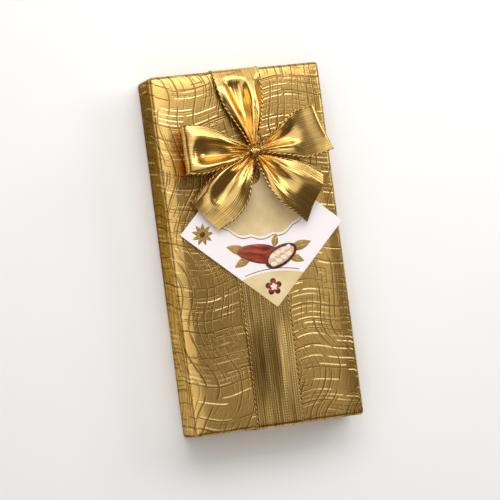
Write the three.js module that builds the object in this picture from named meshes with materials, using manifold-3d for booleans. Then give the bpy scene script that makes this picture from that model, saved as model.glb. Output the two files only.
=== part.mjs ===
// A gift box of chocolates: a lift-off lid over a shallow base, both of board covered in gold paper,
// with a tray of pralines inside, a ribbon and bow on the lid, and a card label hung on the ribbon.
// Millimetres, +Z up. X is the box's width and Y its length. The origin is under the base, at its middle.

import * as THREE from "three";
import Module from "manifold-3d";

const wasm = await Module();
wasm.setup();

// Driving dimensions: the box

const LID_WIDTH = 116; // outside, over the paper
const LID_LENGTH = 234; // outside, over the paper
const BOX_HEIGHT = 31; // table to the top of the lid
const EDGE_RADIUS = 3; // the soft fold of the paper round the lid's top
const CORNER_RADIUS = 2.4; // upright corners of the lid
const LEAST_RADIUS = 0.4; // the sharpest that board and paper are folded
const BOARD = 1.5; // greyboard
const PAPER = 0.3; // cover paper
const GLUE = 0.05; // between paper and board
const TURN_IN = 14; // paper turned over a rim and down its inner side
const BASE_PAPER_LIFT = 0.4; // the base's paper ends this far over the table
const SEAT = 0.3; // between a piece and what carries it
const RUNNING_GAP = 0.5; // between the ribbon's tucked ends and the base or the table

// Driving dimensions: the filling

const TRAY_SHEET = 0.6; // plastic of the tray
const TRAY_PLAY = 0.5; // tray to the base's lining, each side
const TRAY_DEPTH = 12; // flange over the tray's feet
const TRAY_SKIRT = 1.2; // how far the tray's skirt flares out on its way up
const POCKET_PLAY = 1.1; // round a praline at the flange
const POCKET_FLOOR_PLAY = 0.15; // round a praline at its pocket's floor
const COLUMNS = 3; // pralines across the tray
const ROWS = 6; // pralines along the tray
const CUSHION = 3.2; // pad under the lid
const CUSHION_MARGIN = 4; // pad's edge to the lid's inner side
const CUSHION_DRAWN_IN = 1.2; // pad's faces inside its edge

// Each kind of praline: its width and length as shares of its place in the tray, its height as a share of
// the room under the pad, the squareness of its outline (2 is an ellipse), the number and depth of its
// flutes, and its profile as pairs of height and size, both as shares.
const DOME = [
  [0, 0.94],
  [0.16, 1],
  [0.5, 0.9],
  [0.78, 0.65],
  [0.94, 0.34],
  [1, 0.1],
];
const PILLOW = [
  [0, 0.95],
  [0.14, 1],
  [0.62, 0.94],
  [0.86, 0.82],
  [1, 0.56],
];
const PRALINES = {
  dome: { width: 0.75, length: 0.75, height: 0.7, power: 2, flutes: 0, flute: 0, profile: DOME },
  oval: { width: 0.66, length: 0.86, height: 0.67, power: 2.2, flutes: 0, flute: 0, profile: PILLOW },
  shell: { width: 0.76, length: 0.76, height: 0.63, power: 2.2, flutes: 8, flute: 0.045, profile: DOME },
  square: { width: 0.7, length: 0.7, height: 0.59, power: 5, flutes: 0, flute: 0, profile: PILLOW },
  rosette: { width: 0.75, length: 0.75, height: 0.72, power: 2, flutes: 6, flute: 0.06, profile: PILLOW },
  log: { width: 0.6, length: 0.89, height: 0.61, power: 4, flutes: 0, flute: 0, profile: PILLOW },
};

// Driving dimensions: ribbon, bow and label

const RIBBON_WIDTH = 31;
const RIBBON = 0.4; // thickness
const TUCK = 9; // end of the ribbon turned up inside the lid
const PLEATS = 2; // folds across a gathered ribbon
const PLEAT_HEIGHT = 1.5; // the highest fold
const KNOT_X = 3.4;
const KNOT_Y = 61.5;
const KNOT_RADIUS = 3.1;
const KNOT_FOOT = 0.6; // over the label
const KNOT_CROWN = 0.6; // over the highest pleat
const KNOT_WRINKLES = 9;
const KNOT_WRINKLE = 0.25;
const LOW_START = 6.4; // a loop comes back to the knot here, over the label
const LAYER_GAP = 1; // between the pleats of a loop's two layers at the knot
const TAIL_OVER_LOOP = 1.2; // where the tails start, over a loop's lower layer
const UPPER_OVER_LOOP = 1.1; // where the upper run ends, over a loop's lower layer
const LOWER_UNDER_LOOP = 2.5; // where the lower run ends, under a loop's lower layer
const LABEL_LEFT_SIDE = 72.8; // top corner to left corner
const LABEL_RIGHT_SIDE = 79.8; // top corner to right corner
const LABEL_APEX = 93; // degrees between those two sides
const LABEL_CARD = 0.5;
const LABEL_SEAT = 0.6; // label over the ribbon under it
const LABEL_CORNER = 1.2;
const LABEL_HOLE = 14; // diameter, round the ribbon that it hangs on
const RIBBON_IN_HOLE = 0.55; // share of the hole's width that the ribbon takes
const LABEL_HOLE_DROP = 17; // hole's centre below the label's top corner
const LABEL_SWING = 1.3; // degrees that the label hangs to the right
const HOLE_X = 0.7;
const HOLE_BELOW_KNOT = 14;

// Counts of facets

const CORNER_STEPS = 3;
const EDGE_STEPS = 3;
const PRALINE_SIDES = 16;
const FLUTED_SIDES = 3; // facets for each flute
const RIBBON_COLUMNS = 16;
const STRAP_COLUMNS = 12;

// Levels and half sizes that follow from the driving dimensions

const LID_TOP = BOX_HEIGHT;
const SKIN = PAPER + GLUE; // paper with its glue
const LID_WALL = SKIN + BOARD + GLUE + PAPER; // paper, board and the paper turned in
const LID_INSIDE_WIDTH = LID_WIDTH - 2 * LID_WALL;
const LID_INSIDE_LENGTH = LID_LENGTH - 2 * LID_WALL;
const LID_CEILING = LID_TOP - SKIN - BOARD;
const LID_PLAY = SEAT + RIBBON + RUNNING_GAP; // between the lid's inner side and the base
const LID_RIM_LIFT = SEAT + RIBBON + RUNNING_GAP; // how far the lid's rim stays off the table
const CUSHION_TOP = LID_CEILING - SEAT;
const BASE_HEIGHT = CUSHION_TOP - CUSHION - SEAT - SKIN; // rim of the base, without its paper
const BASE_WIDTH = LID_INSIDE_WIDTH - 2 * LID_PLAY;
const BASE_LENGTH = LID_INSIDE_LENGTH - 2 * LID_PLAY;
const BASE_RADIUS = Math.max(CORNER_RADIUS - LID_WALL - LID_PLAY, LEAST_RADIUS);
const BASE_INSIDE_WIDTH = BASE_WIDTH - 2 * LID_WALL;
const BASE_INSIDE_LENGTH = BASE_LENGTH - 2 * LID_WALL;
const TRAY_FOOT = BOARD + SEAT;
const TRAY_FLANGE = TRAY_FOOT + TRAY_DEPTH;
const TRAY_WIDTH = BASE_INSIDE_WIDTH - 2 * TRAY_PLAY;
const TRAY_LENGTH = BASE_INSIDE_LENGTH - 2 * TRAY_PLAY;
const COLUMN_PITCH = TRAY_WIDTH / COLUMNS;
const ROW_PITCH = TRAY_LENGTH / ROWS;
const HALF_PLACE = Math.min(COLUMN_PITCH, ROW_PITCH) / 2; // of a praline in the tray
const PRALINE_FOOT = TRAY_FOOT + TRAY_SHEET + SEAT;
const PRALINE_ROOM = CUSHION_TOP - CUSHION - PRALINE_FOOT;
const RIBBON_OFF = SEAT + RIBBON / 2; // middle of the ribbon to the face that it lies on
const RIBBON_LEVEL = LID_TOP + RIBBON_OFF;
const LABEL_LEVEL = RIBBON_LEVEL + RIBBON / 2 + LABEL_SEAT;
const LABEL_TOP = LABEL_LEVEL + LABEL_CARD;
const HOLE_Y = KNOT_Y - HOLE_BELOW_KNOT;
const ARM_START = KNOT_RADIUS + KNOT_WRINKLE + SEAT + RIBBON / 4; // from the knot's axis

// Materials

const finish = (color, roughness, metalness) =>
  new THREE.MeshStandardMaterial({ color, roughness, metalness });
const goldPaper = finish(0xc9a55c, 0.38, 0.85);
const goldRibbon = finish(0xd0a452, 0.28, 0.9);
const greyBoard = finish(0xd9d2c4, 0.9, 0);
const trayPlastic = finish(0x5a3418, 0.35, 0);
const paddedPaper = finish(0xf1e8d6, 0.8, 0);
const whiteCard = finish(0xf2ecec, 0.5, 0);
const chocolates = {
  dome: finish(0x3a1c12, 0.35, 0),
  oval: finish(0x7a3a1c, 0.3, 0),
  shell: finish(0xe3cfa6, 0.4, 0),
  square: finish(0x4a2414, 0.35, 0),
  rosette: finish(0x6b3a20, 0.35, 0),
  log: finish(0x2e150d, 0.35, 0),
};

// Solids

// A closed solid through a stack of rings, from low to high, each with as many points.
function loft(rings) {
  const sides = rings[0].length;
  const points = rings.flat();
  const faces = [];
  for (let ring = 0; ring + 1 < rings.length; ring++) {
    for (let side = 0; side < sides; side++) {
      const next = (side + 1) % sides;
      const low = ring * sides;
      const high = low + sides;
      faces.push(low + side, low + next, high + next);
      faces.push(low + side, high + next, high + side);
    }
  }
  const last = (rings.length - 1) * sides;
  for (let side = 1; side + 1 < sides; side++) {
    faces.push(0, side + 1, side);
    faces.push(last, last + side, last + side + 1);
  }
  return surface(points, faces);
}

function surface(points, faces) {
  const geometry = new THREE.BufferGeometry().setFromPoints(points);
  geometry.setIndex(faces);
  return geometry;
}

// A rectangle with round corners at height z, as a ring of points.
function rectangleRing(width, length, radius, z) {
  const ring = [];
  for (let corner = 0; corner < 4; corner++) {
    const right = corner === 0 || corner === 3 ? 1 : -1;
    const up = corner < 2 ? 1 : -1;
    const centre = new THREE.Vector2(right * (width / 2 - radius), up * (length / 2 - radius));
    for (let step = 0; step <= CORNER_STEPS; step++) {
      const angle = (corner + step / CORNER_STEPS) * (Math.PI / 2);
      const x = centre.x + radius * Math.cos(angle);
      const y = centre.y + radius * Math.sin(angle);
      ring.push(new THREE.Vector3(x, y, z));
    }
  }
  return ring;
}

function block(width, length, radius, bottom, top) {
  return loft([rectangleRing(width, length, radius, bottom), rectangleRing(width, length, radius, top)]);
}

// A block whose upper edge is rounded off.
function softBlock(width, length, radius, bottom, top, edge) {
  const rings = [rectangleRing(width, length, radius, bottom)];
  for (let step = 0; step <= EDGE_STEPS; step++) {
    const angle = (step / EDGE_STEPS) * (Math.PI / 2);
    const inset = edge * (1 - Math.cos(angle));
    const z = top - edge + edge * Math.sin(angle);
    const corner = Math.max(radius - inset, LEAST_RADIUS);
    rings.push(rectangleRing(width - 2 * inset, length - 2 * inset, corner, z));
  }
  return loft(rings);
}

function solid(geometry) {
  return new wasm.Manifold(
    new wasm.Mesh({
      numProp: 3,
      vertProperties: new Float32Array(geometry.attributes.position.array),
      triVerts: new Uint32Array(geometry.index.array),
    }),
  );
}

function geometryOf(made) {
  const mesh = made.getMesh();
  const geometry = new THREE.BufferGeometry();
  geometry.setAttribute("position", new THREE.BufferAttribute(mesh.vertProperties, 3));
  geometry.setIndex(new THREE.BufferAttribute(mesh.triVerts, 1));
  return geometry;
}

const REACH_PAST = 1; // a cutter reaches this far past the face that it opens

// A wall that runs round a rectangle: its outside, and how thick it is.
function wall(width, length, radius, thickness, bottom, top) {
  const inner = [width - 2 * thickness, length - 2 * thickness, Math.max(radius - thickness, LEAST_RADIUS)];
  const hollow = block(...inner, bottom - REACH_PAST, top + REACH_PAST);
  return solid(block(width, length, radius, bottom, top)).subtract(solid(hollow));
}

// Base

function baseBoard() {
  const width = BASE_WIDTH - 2 * SKIN;
  const length = BASE_LENGTH - 2 * SKIN;
  const body = solid(block(width, length, BASE_RADIUS, 0, BASE_HEIGHT));
  const inner = [width - 2 * BOARD, length - 2 * BOARD, LEAST_RADIUS];
  return body.subtract(solid(block(...inner, BOARD, BASE_HEIGHT + REACH_PAST)));
}

// The paper goes up the outside of the base, over its rim and down its inner side.
function basePaper() {
  const rim = BASE_HEIGHT + GLUE;
  const outside = wall(BASE_WIDTH, BASE_LENGTH, BASE_RADIUS, PAPER, BASE_PAPER_LIFT, rim + PAPER);
  const overRim = wall(BASE_WIDTH, BASE_LENGTH, BASE_RADIUS, LID_WALL, rim, rim + PAPER);
  const lining = wall(
    BASE_INSIDE_WIDTH + 2 * PAPER,
    BASE_INSIDE_LENGTH + 2 * PAPER,
    LEAST_RADIUS,
    PAPER,
    BASE_HEIGHT - TURN_IN + PAPER,
    rim + PAPER,
  );
  return outside.add(overRim).add(lining);
}

// Lid

function lidBoard() {
  const width = LID_WIDTH - 2 * SKIN;
  const length = LID_LENGTH - 2 * SKIN;
  const rim = LID_RIM_LIFT + SKIN;
  const top = LID_TOP - SKIN;
  const body = softBlock(width, length, CORNER_RADIUS - SKIN, rim, top, EDGE_RADIUS - SKIN);
  const corner = Math.max(CORNER_RADIUS - SKIN - BOARD, LEAST_RADIUS);
  const inner = [width - 2 * BOARD, length - 2 * BOARD, corner];
  return solid(body).subtract(solid(block(...inner, rim - REACH_PAST, LID_CEILING)));
}

// The paper covers the top and the sides, goes round the rim and up the inner side.
function lidPaper() {
  const rim = LID_RIM_LIFT;
  const body = softBlock(LID_WIDTH, LID_LENGTH, CORNER_RADIUS, rim, LID_TOP, EDGE_RADIUS);
  const hollow = softBlock(
    LID_WIDTH - 2 * PAPER,
    LID_LENGTH - 2 * PAPER,
    CORNER_RADIUS - PAPER,
    rim - REACH_PAST,
    LID_TOP - PAPER,
    EDGE_RADIUS - PAPER,
  );
  const underRim = wall(LID_WIDTH, LID_LENGTH, CORNER_RADIUS, LID_WALL, rim, rim + PAPER);
  const lining = wall(
    LID_INSIDE_WIDTH + 2 * PAPER,
    LID_INSIDE_LENGTH + 2 * PAPER,
    Math.max(CORNER_RADIUS - SKIN - BOARD - GLUE, LEAST_RADIUS),
    PAPER,
    rim,
    rim + TURN_IN,
  );
  return solid(body).subtract(solid(hollow)).add(underRim).add(lining);
}

// A pad of creped paper glued under the lid, which keeps the pralines in their pockets.
function lidCushion() {
  const width = LID_INSIDE_WIDTH - 2 * CUSHION_MARGIN;
  const length = LID_INSIDE_LENGTH - 2 * CUSHION_MARGIN;
  const ring = (inset, z) => rectangleRing(width - 2 * inset, length - 2 * inset, CORNER_RADIUS, z);
  return loft([
    ring(CUSHION_DRAWN_IN, CUSHION_TOP - CUSHION),
    ring(0, CUSHION_TOP - CUSHION / 2),
    ring(CUSHION_DRAWN_IN, CUSHION_TOP),
  ]);
}

// Pralines and their tray

// The outline of a praline at height z: a superellipse, fluted if its kind has flutes.
function pralineRing(kind, share, grow, z, fluted) {
  const { width, length, power, flutes, flute } = PRALINES[kind];
  const sides = fluted && flutes ? flutes * FLUTED_SIDES : PRALINE_SIDES;
  const ring = [];
  for (let side = 0; side < sides; side++) {
    const angle = (side / sides) * 2 * Math.PI;
    const bend = (value) => Math.sign(value) * Math.abs(value) ** (2 / power);
    const swell = fluted ? 1 + flute * (Math.cos(flutes * angle) - 1) : 1;
    const x = (width * HALF_PLACE * share + grow) * bend(Math.cos(angle)) * swell;
    const y = (length * HALF_PLACE * share + grow) * bend(Math.sin(angle)) * swell;
    ring.push(new THREE.Vector3(x, y, z));
  }
  return ring;
}

function praline(kind) {
  const { height, profile } = PRALINES[kind];
  const top = height * PRALINE_ROOM;
  return loft(profile.map(([up, share]) => pralineRing(kind, share, 0, up * top, true)));
}

// A pocket's hollow, or with a wall thickness its cup, in the praline's own frame.
function pocket(kind, thickness, floor, mouth) {
  const low = pralineRing(kind, 1, POCKET_FLOOR_PLAY + thickness, floor, false);
  const high = pralineRing(kind, 1, POCKET_PLAY + thickness, mouth, false);
  return loft([low, high]);
}

// Every praline's kind, name and place. They lie alike on the tray's left and right, and the kind changes
// from row to row.
function pralinePlaces() {
  const kinds = Object.keys(PRALINES);
  const counts = {};
  const places = [];
  for (let row = 0; row < ROWS; row++) {
    for (let column = 0; column < COLUMNS; column++) {
      const inward = Math.min(column, COLUMNS - 1 - column);
      const kind = kinds[(row + (inward * kinds.length) / 2) % kinds.length];
      counts[kind] = (counts[kind] ?? 0) + 1;
      const x = (column - (COLUMNS - 1) / 2) * COLUMN_PITCH;
      const y = (row - (ROWS - 1) / 2) * ROW_PITCH;
      places.push({ kind, name: `praline_${kind}_${counts[kind]}`, x, y });
    }
  }
  return places;
}

function pralineTray(places) {
  const at = (geometry, { x, y }) => solid(geometry.translate(x, y, 0));
  const flangeFoot = TRAY_FLANGE - TRAY_SHEET;
  let tray = solid(block(TRAY_WIDTH, TRAY_LENGTH, BASE_RADIUS, flangeFoot, TRAY_FLANGE));
  const skirtRing = (inset, z) =>
    rectangleRing(TRAY_WIDTH - 2 * inset, TRAY_LENGTH - 2 * inset, BASE_RADIUS, z);
  const skirtOutside = loft([skirtRing(TRAY_SKIRT, TRAY_FOOT), skirtRing(0, TRAY_FLANGE)]);
  const skirtInside = loft([
    skirtRing(TRAY_SKIRT + TRAY_SHEET, TRAY_FOOT - REACH_PAST),
    skirtRing(TRAY_SHEET, flangeFoot),
  ]);
  tray = tray.add(solid(skirtOutside).subtract(solid(skirtInside)));
  for (const place of places) {
    tray = tray.add(at(pocket(place.kind, TRAY_SHEET, TRAY_FOOT, TRAY_FLANGE), place));
  }
  const floor = TRAY_FOOT + TRAY_SHEET;
  for (const place of places) {
    tray = tray.subtract(at(pocket(place.kind, 0, floor, TRAY_FLANGE + REACH_PAST), place));
  }
  return tray;
}

// Ribbon and bow

// A row is one line across the ribbon: its middle, the way to its right edge, the share of the ribbon's
// width that it spreads over, how deep its middle sags, and the room that its pleats have.
function row(at, side, spread, trough = 0, room = PLEAT_HEIGHT) {
  return { at, side, spread, trough, room };
}

// A gathered ribbon keeps its width along its pleats, so the narrower it is the higher they stand.
function pleatHeight({ spread, room }) {
  const pitch = (RIBBON_WIDTH * spread) / PLEATS;
  const slope = Math.sqrt(Math.max(1 / spread ** 2 - 1, 0));
  return Math.min((pitch / 4) * slope, room);
}

// The ribbon's solid: a grid of points over its rows, thickened to both sides.
function ribbonSolid(rows, columns) {
  const across = (column) => (2 * column) / columns - 1;
  const grid = rows.map((line, index) => {
    const before = rows[Math.max(index - 1, 0)].at;
    const after = rows[Math.min(index + 1, rows.length - 1)].at;
    const forward = after.clone().sub(before).normalize();
    const side = line.side.clone().addScaledVector(forward, -line.side.dot(forward)).normalize();
    const up = new THREE.Vector3().crossVectors(side, forward);
    const height = pleatHeight(line);
    return Array.from({ length: columns + 1 }, (_, column) => {
      const v = across(column);
      const lift = height * Math.cos(PLEATS * Math.PI * v) + line.trough * (2 * v * v - 1);
      return line.at
        .clone()
        .addScaledVector(side, (v * line.spread * RIBBON_WIDTH) / 2)
        .addScaledVector(up, lift);
    });
  });
  const last = grid.length - 1;
  const normal = (i, j) => {
    const along = grid[Math.min(i + 1, last)][j].clone().sub(grid[Math.max(i - 1, 0)][j]);
    const over = grid[i][Math.min(j + 1, columns)].clone().sub(grid[i][Math.max(j - 1, 0)]);
    return over.cross(along).normalize();
  };
  const layer = (sign) =>
    grid.flatMap((line, i) =>
      line.map((point, j) => point.clone().addScaledVector(normal(i, j), (sign * RIBBON) / 2)),
    );
  const stride = columns + 1;
  const below = grid.length * stride;
  const faces = [];
  const quad = (a, b, c, d) => faces.push(a, b, c, a, c, d);
  for (let i = 0; i < last; i++) {
    for (let j = 0; j < columns; j++) {
      const a = i * stride + j;
      quad(a, a + 1, a + 1 + stride, a + stride);
      quad(below + a, below + a + stride, below + a + 1 + stride, below + a + 1);
    }
    const left = i * stride;
    const right = left + columns;
    quad(left, left + stride, below + left + stride, below + left);
    quad(right, below + right, below + right + stride, right + stride);
  }
  for (let j = 0; j < columns; j++) {
    const end = last * stride + j;
    quad(j, below + j, below + j + 1, j + 1);
    quad(end, end + 1, below + end + 1, below + end);
  }
  return surface([...layer(1), ...layer(-1)], faces);
}

// A smooth run of values through a list of equally spaced ones.
function smooth(values, share) {
  const reach = share * (values.length - 1);
  const index = Math.min(Math.floor(reach), values.length - 2);
  const t = reach - index;
  const pick = (offset) => values[Math.min(Math.max(index + offset, 0), values.length - 1)];
  const [a, b, c, d] = [pick(-1), pick(0), pick(1), pick(2)];
  return b + 0.5 * t * (c - a + t * (2 * a - 5 * b + 4 * c - d + t * (3 * (b - c) + d - a)));
}

// An arm of the bow leaves the knot at a heading. Its stations give how far it reaches from the knot, its
// height over the label, its spread, its trough and, where it curves, the degrees that it is off its
// heading. Its far edge is turned by the skew.
function bowArm({ heading, skew, stations }, rowCount) {
  const lines = [];
  const column = (index) => stations.map((station) => station[index] ?? 0);
  const furthest = Math.max(...column(0));
  for (let index = 0; index < rowCount; index++) {
    const share = index / (rowCount - 1);
    const [reach, height, spread, trough, turn] = [0, 1, 2, 3, 4].map((c) => smooth(column(c), share));
    const angle = THREE.MathUtils.degToRad(heading + turn);
    const turned = THREE.MathUtils.degToRad(heading + turn + (skew * reach) / furthest);
    const x = KNOT_X + reach * Math.cos(angle);
    const y = KNOT_Y + reach * Math.sin(angle);
    const side = new THREE.Vector3(Math.sin(turned), -Math.cos(turned), 0);
    const at = new THREE.Vector3(x, y, LABEL_TOP + height);
    lines.push(row(at, side, Math.min(spread, 1), trough));
  }
  return ribbonSolid(lines, RIBBON_COLUMNS);
}

const LOOP_ROWS = 19;
const TAIL_ROWS = 12;
const ARMS = 6; // two runs, two loops and two tails share the way round the knot
const GATHERED = (2 * Math.PI * ARM_START) / ARMS / RIBBON_WIDTH; // share of the ribbon's width there
const LAYER = 2 * PLEAT_HEIGHT + RIBBON + LAYER_GAP; // a gathered ribbon to the one over it
const HIGH_START = LOW_START + LAYER; // a loop leaves the knot here, over the label
const TAIL_START = LOW_START + TAIL_OVER_LOOP;
const UPPER_START = LOW_START + UPPER_OVER_LOOP; // the upper run meets the knot here
const LOWER_START = LOW_START - LOWER_UNDER_LOOP; // and the lower run here
const KNOT_HEAD = HIGH_START + PLEAT_HEIGHT + KNOT_CROWN;

// A loop goes out over the top, turns at its tip and comes back underneath.
const LEFT_LOOP = {
  heading: 174,
  skew: 10,
  stations: [
    [ARM_START, HIGH_START, GATHERED, 0],
    [13, 13.8, 0.42, 0.8],
    [23, 16.6, 0.72, 1.8],
    [33, 16.8, 0.95, 1.8],
    [42, 13.8, 1, 0.8],
    [46, 9.4, 1, 0],
    [42, 5.6, 1, 0],
    [30, 4.6, 0.92, 0],
    [17, 5, 0.54, 0],
    [ARM_START, LOW_START, GATHERED, 0],
  ],
};
const RIGHT_LOOP = {
  heading: 13,
  skew: 7,
  stations: [
    [ARM_START, HIGH_START, GATHERED, 0],
    [14, 14.2, 0.45, 1.2],
    [25, 17.2, 0.78, 1.6],
    [36, 17.8, 1, 0.4],
    [46, 15.4, 1, 0],
    [49.5, 11.8, 1, 0],
    [46, 8, 1, 0],
    [34, 5.6, 0.95, 0],
    [18, 5, 0.56, 0],
    [ARM_START, LOW_START, GATHERED, 0],
  ],
};

// A tail rises from the knot, crests and comes down on the label.
const LEFT_TAIL = {
  heading: 227,
  skew: 0,
  stations: [
    [ARM_START, TAIL_START, GATHERED, 0],
    [14, 11.2, 0.45, 0.8],
    [26, 13, 0.76, 2.2],
    [36, 10.8, 0.84, 2.2],
    [44, 6.2, 0.82, 1.4],
    [51, 2.8, 0.8, 0.8],
  ],
};
const RIGHT_TAIL = {
  heading: 317,
  skew: 0,
  stations: [
    [ARM_START, TAIL_START, GATHERED, 0, -10],
    [14, 10.8, 0.45, 0.6, -10],
    [25, 12.4, 0.8, 1.2, -9],
    [36, 10.2, 1, 1, -6],
    [45, 6, 1, 0.6, -2],
    [53, 2.6, 1, 0.3, 3],
  ],
};

// The ribbon from inside the lid, round its rim, up its end and over the edge, at the end that faces
// towards (+1 or -1 along Y).
function strapOverEnd(towards) {
  const side = new THREE.Vector3(-towards, 0, 0);
  const line = (y, z) => row(new THREE.Vector3(0, towards * y, z), side, 1);
  const outside = LID_LENGTH / 2;
  const inside = outside - LID_WALL;
  const lines = [
    line(inside - RIBBON_OFF, LID_RIM_LIFT + TUCK),
    line(inside - RIBBON_OFF, LID_RIM_LIFT - RIBBON_OFF),
    line(outside + RIBBON_OFF, LID_RIM_LIFT - RIBBON_OFF),
  ];
  const bend = EDGE_RADIUS + RIBBON_OFF;
  for (let step = 0; step <= EDGE_STEPS; step++) {
    const angle = (step / EDGE_STEPS) * (Math.PI / 2);
    const y = outside - EDGE_RADIUS + bend * Math.cos(angle);
    lines.push(line(y, LID_TOP - EDGE_RADIUS + bend * Math.sin(angle)));
  }
  return lines;
}

const mix = THREE.MathUtils.lerp;

// From the top end the ribbon lies flat, then draws together and climbs to the knot. Each step gives its
// share of the way from the lid's edge to the knot, its share of the climb, its spread and its trough.
const UPPER_CLIMB = [
  [0.18, 0.06, 1, 0],
  [0.32, 0.24, 0.92, 0.3],
  [0.5, 0.55, 0.74, 0.8],
  [0.69, 0.83, 0.5, 0.8],
  [0.86, 0.97, 0.3, 0.4],
  [1, 1, GATHERED, 0],
];
function upperRun() {
  const side = new THREE.Vector3(-1, 0, 0);
  const lines = strapOverEnd(1);
  const edge = LID_LENGTH / 2 - EDGE_RADIUS;
  for (const [way, up, spread, trough] of UPPER_CLIMB) {
    const y = mix(edge, KNOT_Y + ARM_START, way);
    const z = mix(RIBBON_LEVEL, LABEL_TOP + UPPER_START, up);
    lines.push(row(new THREE.Vector3(KNOT_X * up, y, z), side, spread, trough));
  }
  return ribbonSolid(lines, STRAP_COLUMNS);
}

// From the foot end the ribbon lies flat under the label, comes up through the label's hole and climbs to
// the knot. Its pleats have little room until it is through. The steps give its way over the hole in hole
// radii from the hole's middle, its share of the climb, its spread and the room that its pleats have.
const IN_HOLE = (RIBBON_IN_HOLE * LABEL_HOLE) / RIBBON_WIDTH;
const LOWER_CLIMB = [
  [-3.3, 0, 1, 0.15],
  [-2.1, 0, 0.8, 0.15],
  [-1.15, 0, 1.36 * IN_HOLE, 0.15],
  [-0.5, 0.06, IN_HOLE, 0.25],
  [0.26, 0.42, IN_HOLE, 0.8],
  [0.77, 0.8, 0.8 * IN_HOLE, 1],
];
function lowerRun() {
  const side = new THREE.Vector3(1, 0, 0);
  const lines = strapOverEnd(-1);
  const top = LABEL_TOP + LOWER_START;
  for (const [way, up, spread, room] of LOWER_CLIMB) {
    const x = mix(HOLE_X, KNOT_X, up);
    const y = HOLE_Y + (way * LABEL_HOLE) / 2;
    lines.push(row(new THREE.Vector3(x, y, mix(RIBBON_LEVEL, top, up)), side, spread, 0, room));
  }
  const end = new THREE.Vector3(KNOT_X, KNOT_Y - ARM_START, top);
  lines.push(row(end, side, GATHERED, 0, 1));
  return ribbonSolid(lines, STRAP_COLUMNS);
}

// The pinched middle of the bow, wrinkled all round.
function bowKnot() {
  const sides = KNOT_WRINKLES * 4;
  const ring = (share, height) =>
    Array.from({ length: sides }, (_, index) => {
      const angle = (index / sides) * 2 * Math.PI;
      const radius = share * (KNOT_RADIUS + KNOT_WRINKLE * Math.cos(KNOT_WRINKLES * angle));
      const x = KNOT_X + radius * Math.cos(angle);
      return new THREE.Vector3(x, KNOT_Y + radius * Math.sin(angle), LABEL_TOP + height);
    });
  const body = KNOT_HEAD - KNOT_FOOT;
  const profile = [
    [0.72, 0],
    [0.95, 0.12],
    [1, 0.45],
    [0.96, 0.8],
    [0.74, 0.94],
    [0.3, 1],
  ];
  return loft(profile.map(([share, up]) => ring(share, KNOT_FOOT + up * body)));
}

// Label

// A card that hangs by its top corner, with a hole near it. Its own frame has the hole at the origin.
function labelCard() {
  const lean = THREE.MathUtils.degToRad(LABEL_APEX / 2);
  const left = new THREE.Vector2(-Math.sin(lean), -Math.cos(lean)).setLength(LABEL_LEFT_SIDE);
  const right = new THREE.Vector2(Math.sin(lean), -Math.cos(lean)).setLength(LABEL_RIGHT_SIDE);
  const top = new THREE.Vector2(0, LABEL_HOLE_DROP);
  const corners = [top, top.clone().add(left), top.clone().add(left).add(right), top.clone().add(right)];
  const shape = new THREE.Shape();
  corners.forEach((corner, index) => {
    const before = corners[(index + 3) % 4];
    const after = corners[(index + 1) % 4];
    const from = corner.clone().add(before.clone().sub(corner).setLength(LABEL_CORNER));
    const to = corner.clone().add(after.clone().sub(corner).setLength(LABEL_CORNER));
    if (index === 0) shape.moveTo(from.x, from.y);
    else shape.lineTo(from.x, from.y);
    shape.quadraticCurveTo(corner.x, corner.y, to.x, to.y);
  });
  shape.closePath();
  const hole = new THREE.Path();
  hole.absarc(0, 0, LABEL_HOLE / 2, 0, 2 * Math.PI, true);
  shape.holes.push(hole);
  return new THREE.ExtrudeGeometry(shape, { depth: LABEL_CARD, bevelEnabled: false, curveSegments: 6 });
}

// The assembly

const box = new THREE.Group();

function place(name, made, material, parent = box) {
  const geometry = made.isBufferGeometry ? made : geometryOf(made);
  const mesh = new THREE.Mesh(geometry, material);
  mesh.name = name;
  parent.add(mesh);
  return mesh;
}

place("base_board", baseBoard(), greyBoard);
place("base_paper", basePaper(), goldPaper);
const places = pralinePlaces();
place("praline_tray", pralineTray(places), trayPlastic);
for (const { kind, name, x, y } of places) {
  place(name, praline(kind), chocolates[kind]).position.set(x, y, PRALINE_FOOT);
}

const lid = new THREE.Group();
box.add(lid);
place("lid_board", lidBoard(), greyBoard, lid);
place("lid_paper", lidPaper(), goldPaper, lid);
place("lid_cushion", lidCushion(), paddedPaper, lid);
place("ribbon_upper_run", upperRun(), goldRibbon, lid);
place("ribbon_lower_run", lowerRun(), goldRibbon, lid);
place("bow_loop_left", bowArm(LEFT_LOOP, LOOP_ROWS), goldRibbon, lid);
place("bow_loop_right", bowArm(RIGHT_LOOP, LOOP_ROWS), goldRibbon, lid);
place("bow_tail_left", bowArm(LEFT_TAIL, TAIL_ROWS), goldRibbon, lid);
place("bow_tail_right", bowArm(RIGHT_TAIL, TAIL_ROWS), goldRibbon, lid);
place("bow_knot", bowKnot(), goldRibbon, lid);
const label = place("label_card", labelCard(), whiteCard, lid);
label.position.set(HOLE_X, HOLE_Y, LABEL_LEVEL);
label.rotation.z = THREE.MathUtils.degToRad(LABEL_SWING);

export default box;
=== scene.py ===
# %% [markdown]
# # A gold box of chocolates with a bow
# The real box is a shallow board base with a lift-off lid, both covered in embossed gold foil paper.
# A gold ribbon runs round the lid and is tied in a bow, and a card label hangs on the ribbon.
# The packed model gives every piece its place and the bodies that move: base, lid and label.
# The scene dresses that frame, so nothing here moves a CAD piece.

# %% Load the packed model
import math

import bpy
import numpy as np
from mathutils import Matrix, Vector
from mathutils.geometry import tessellate_polygon


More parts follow.
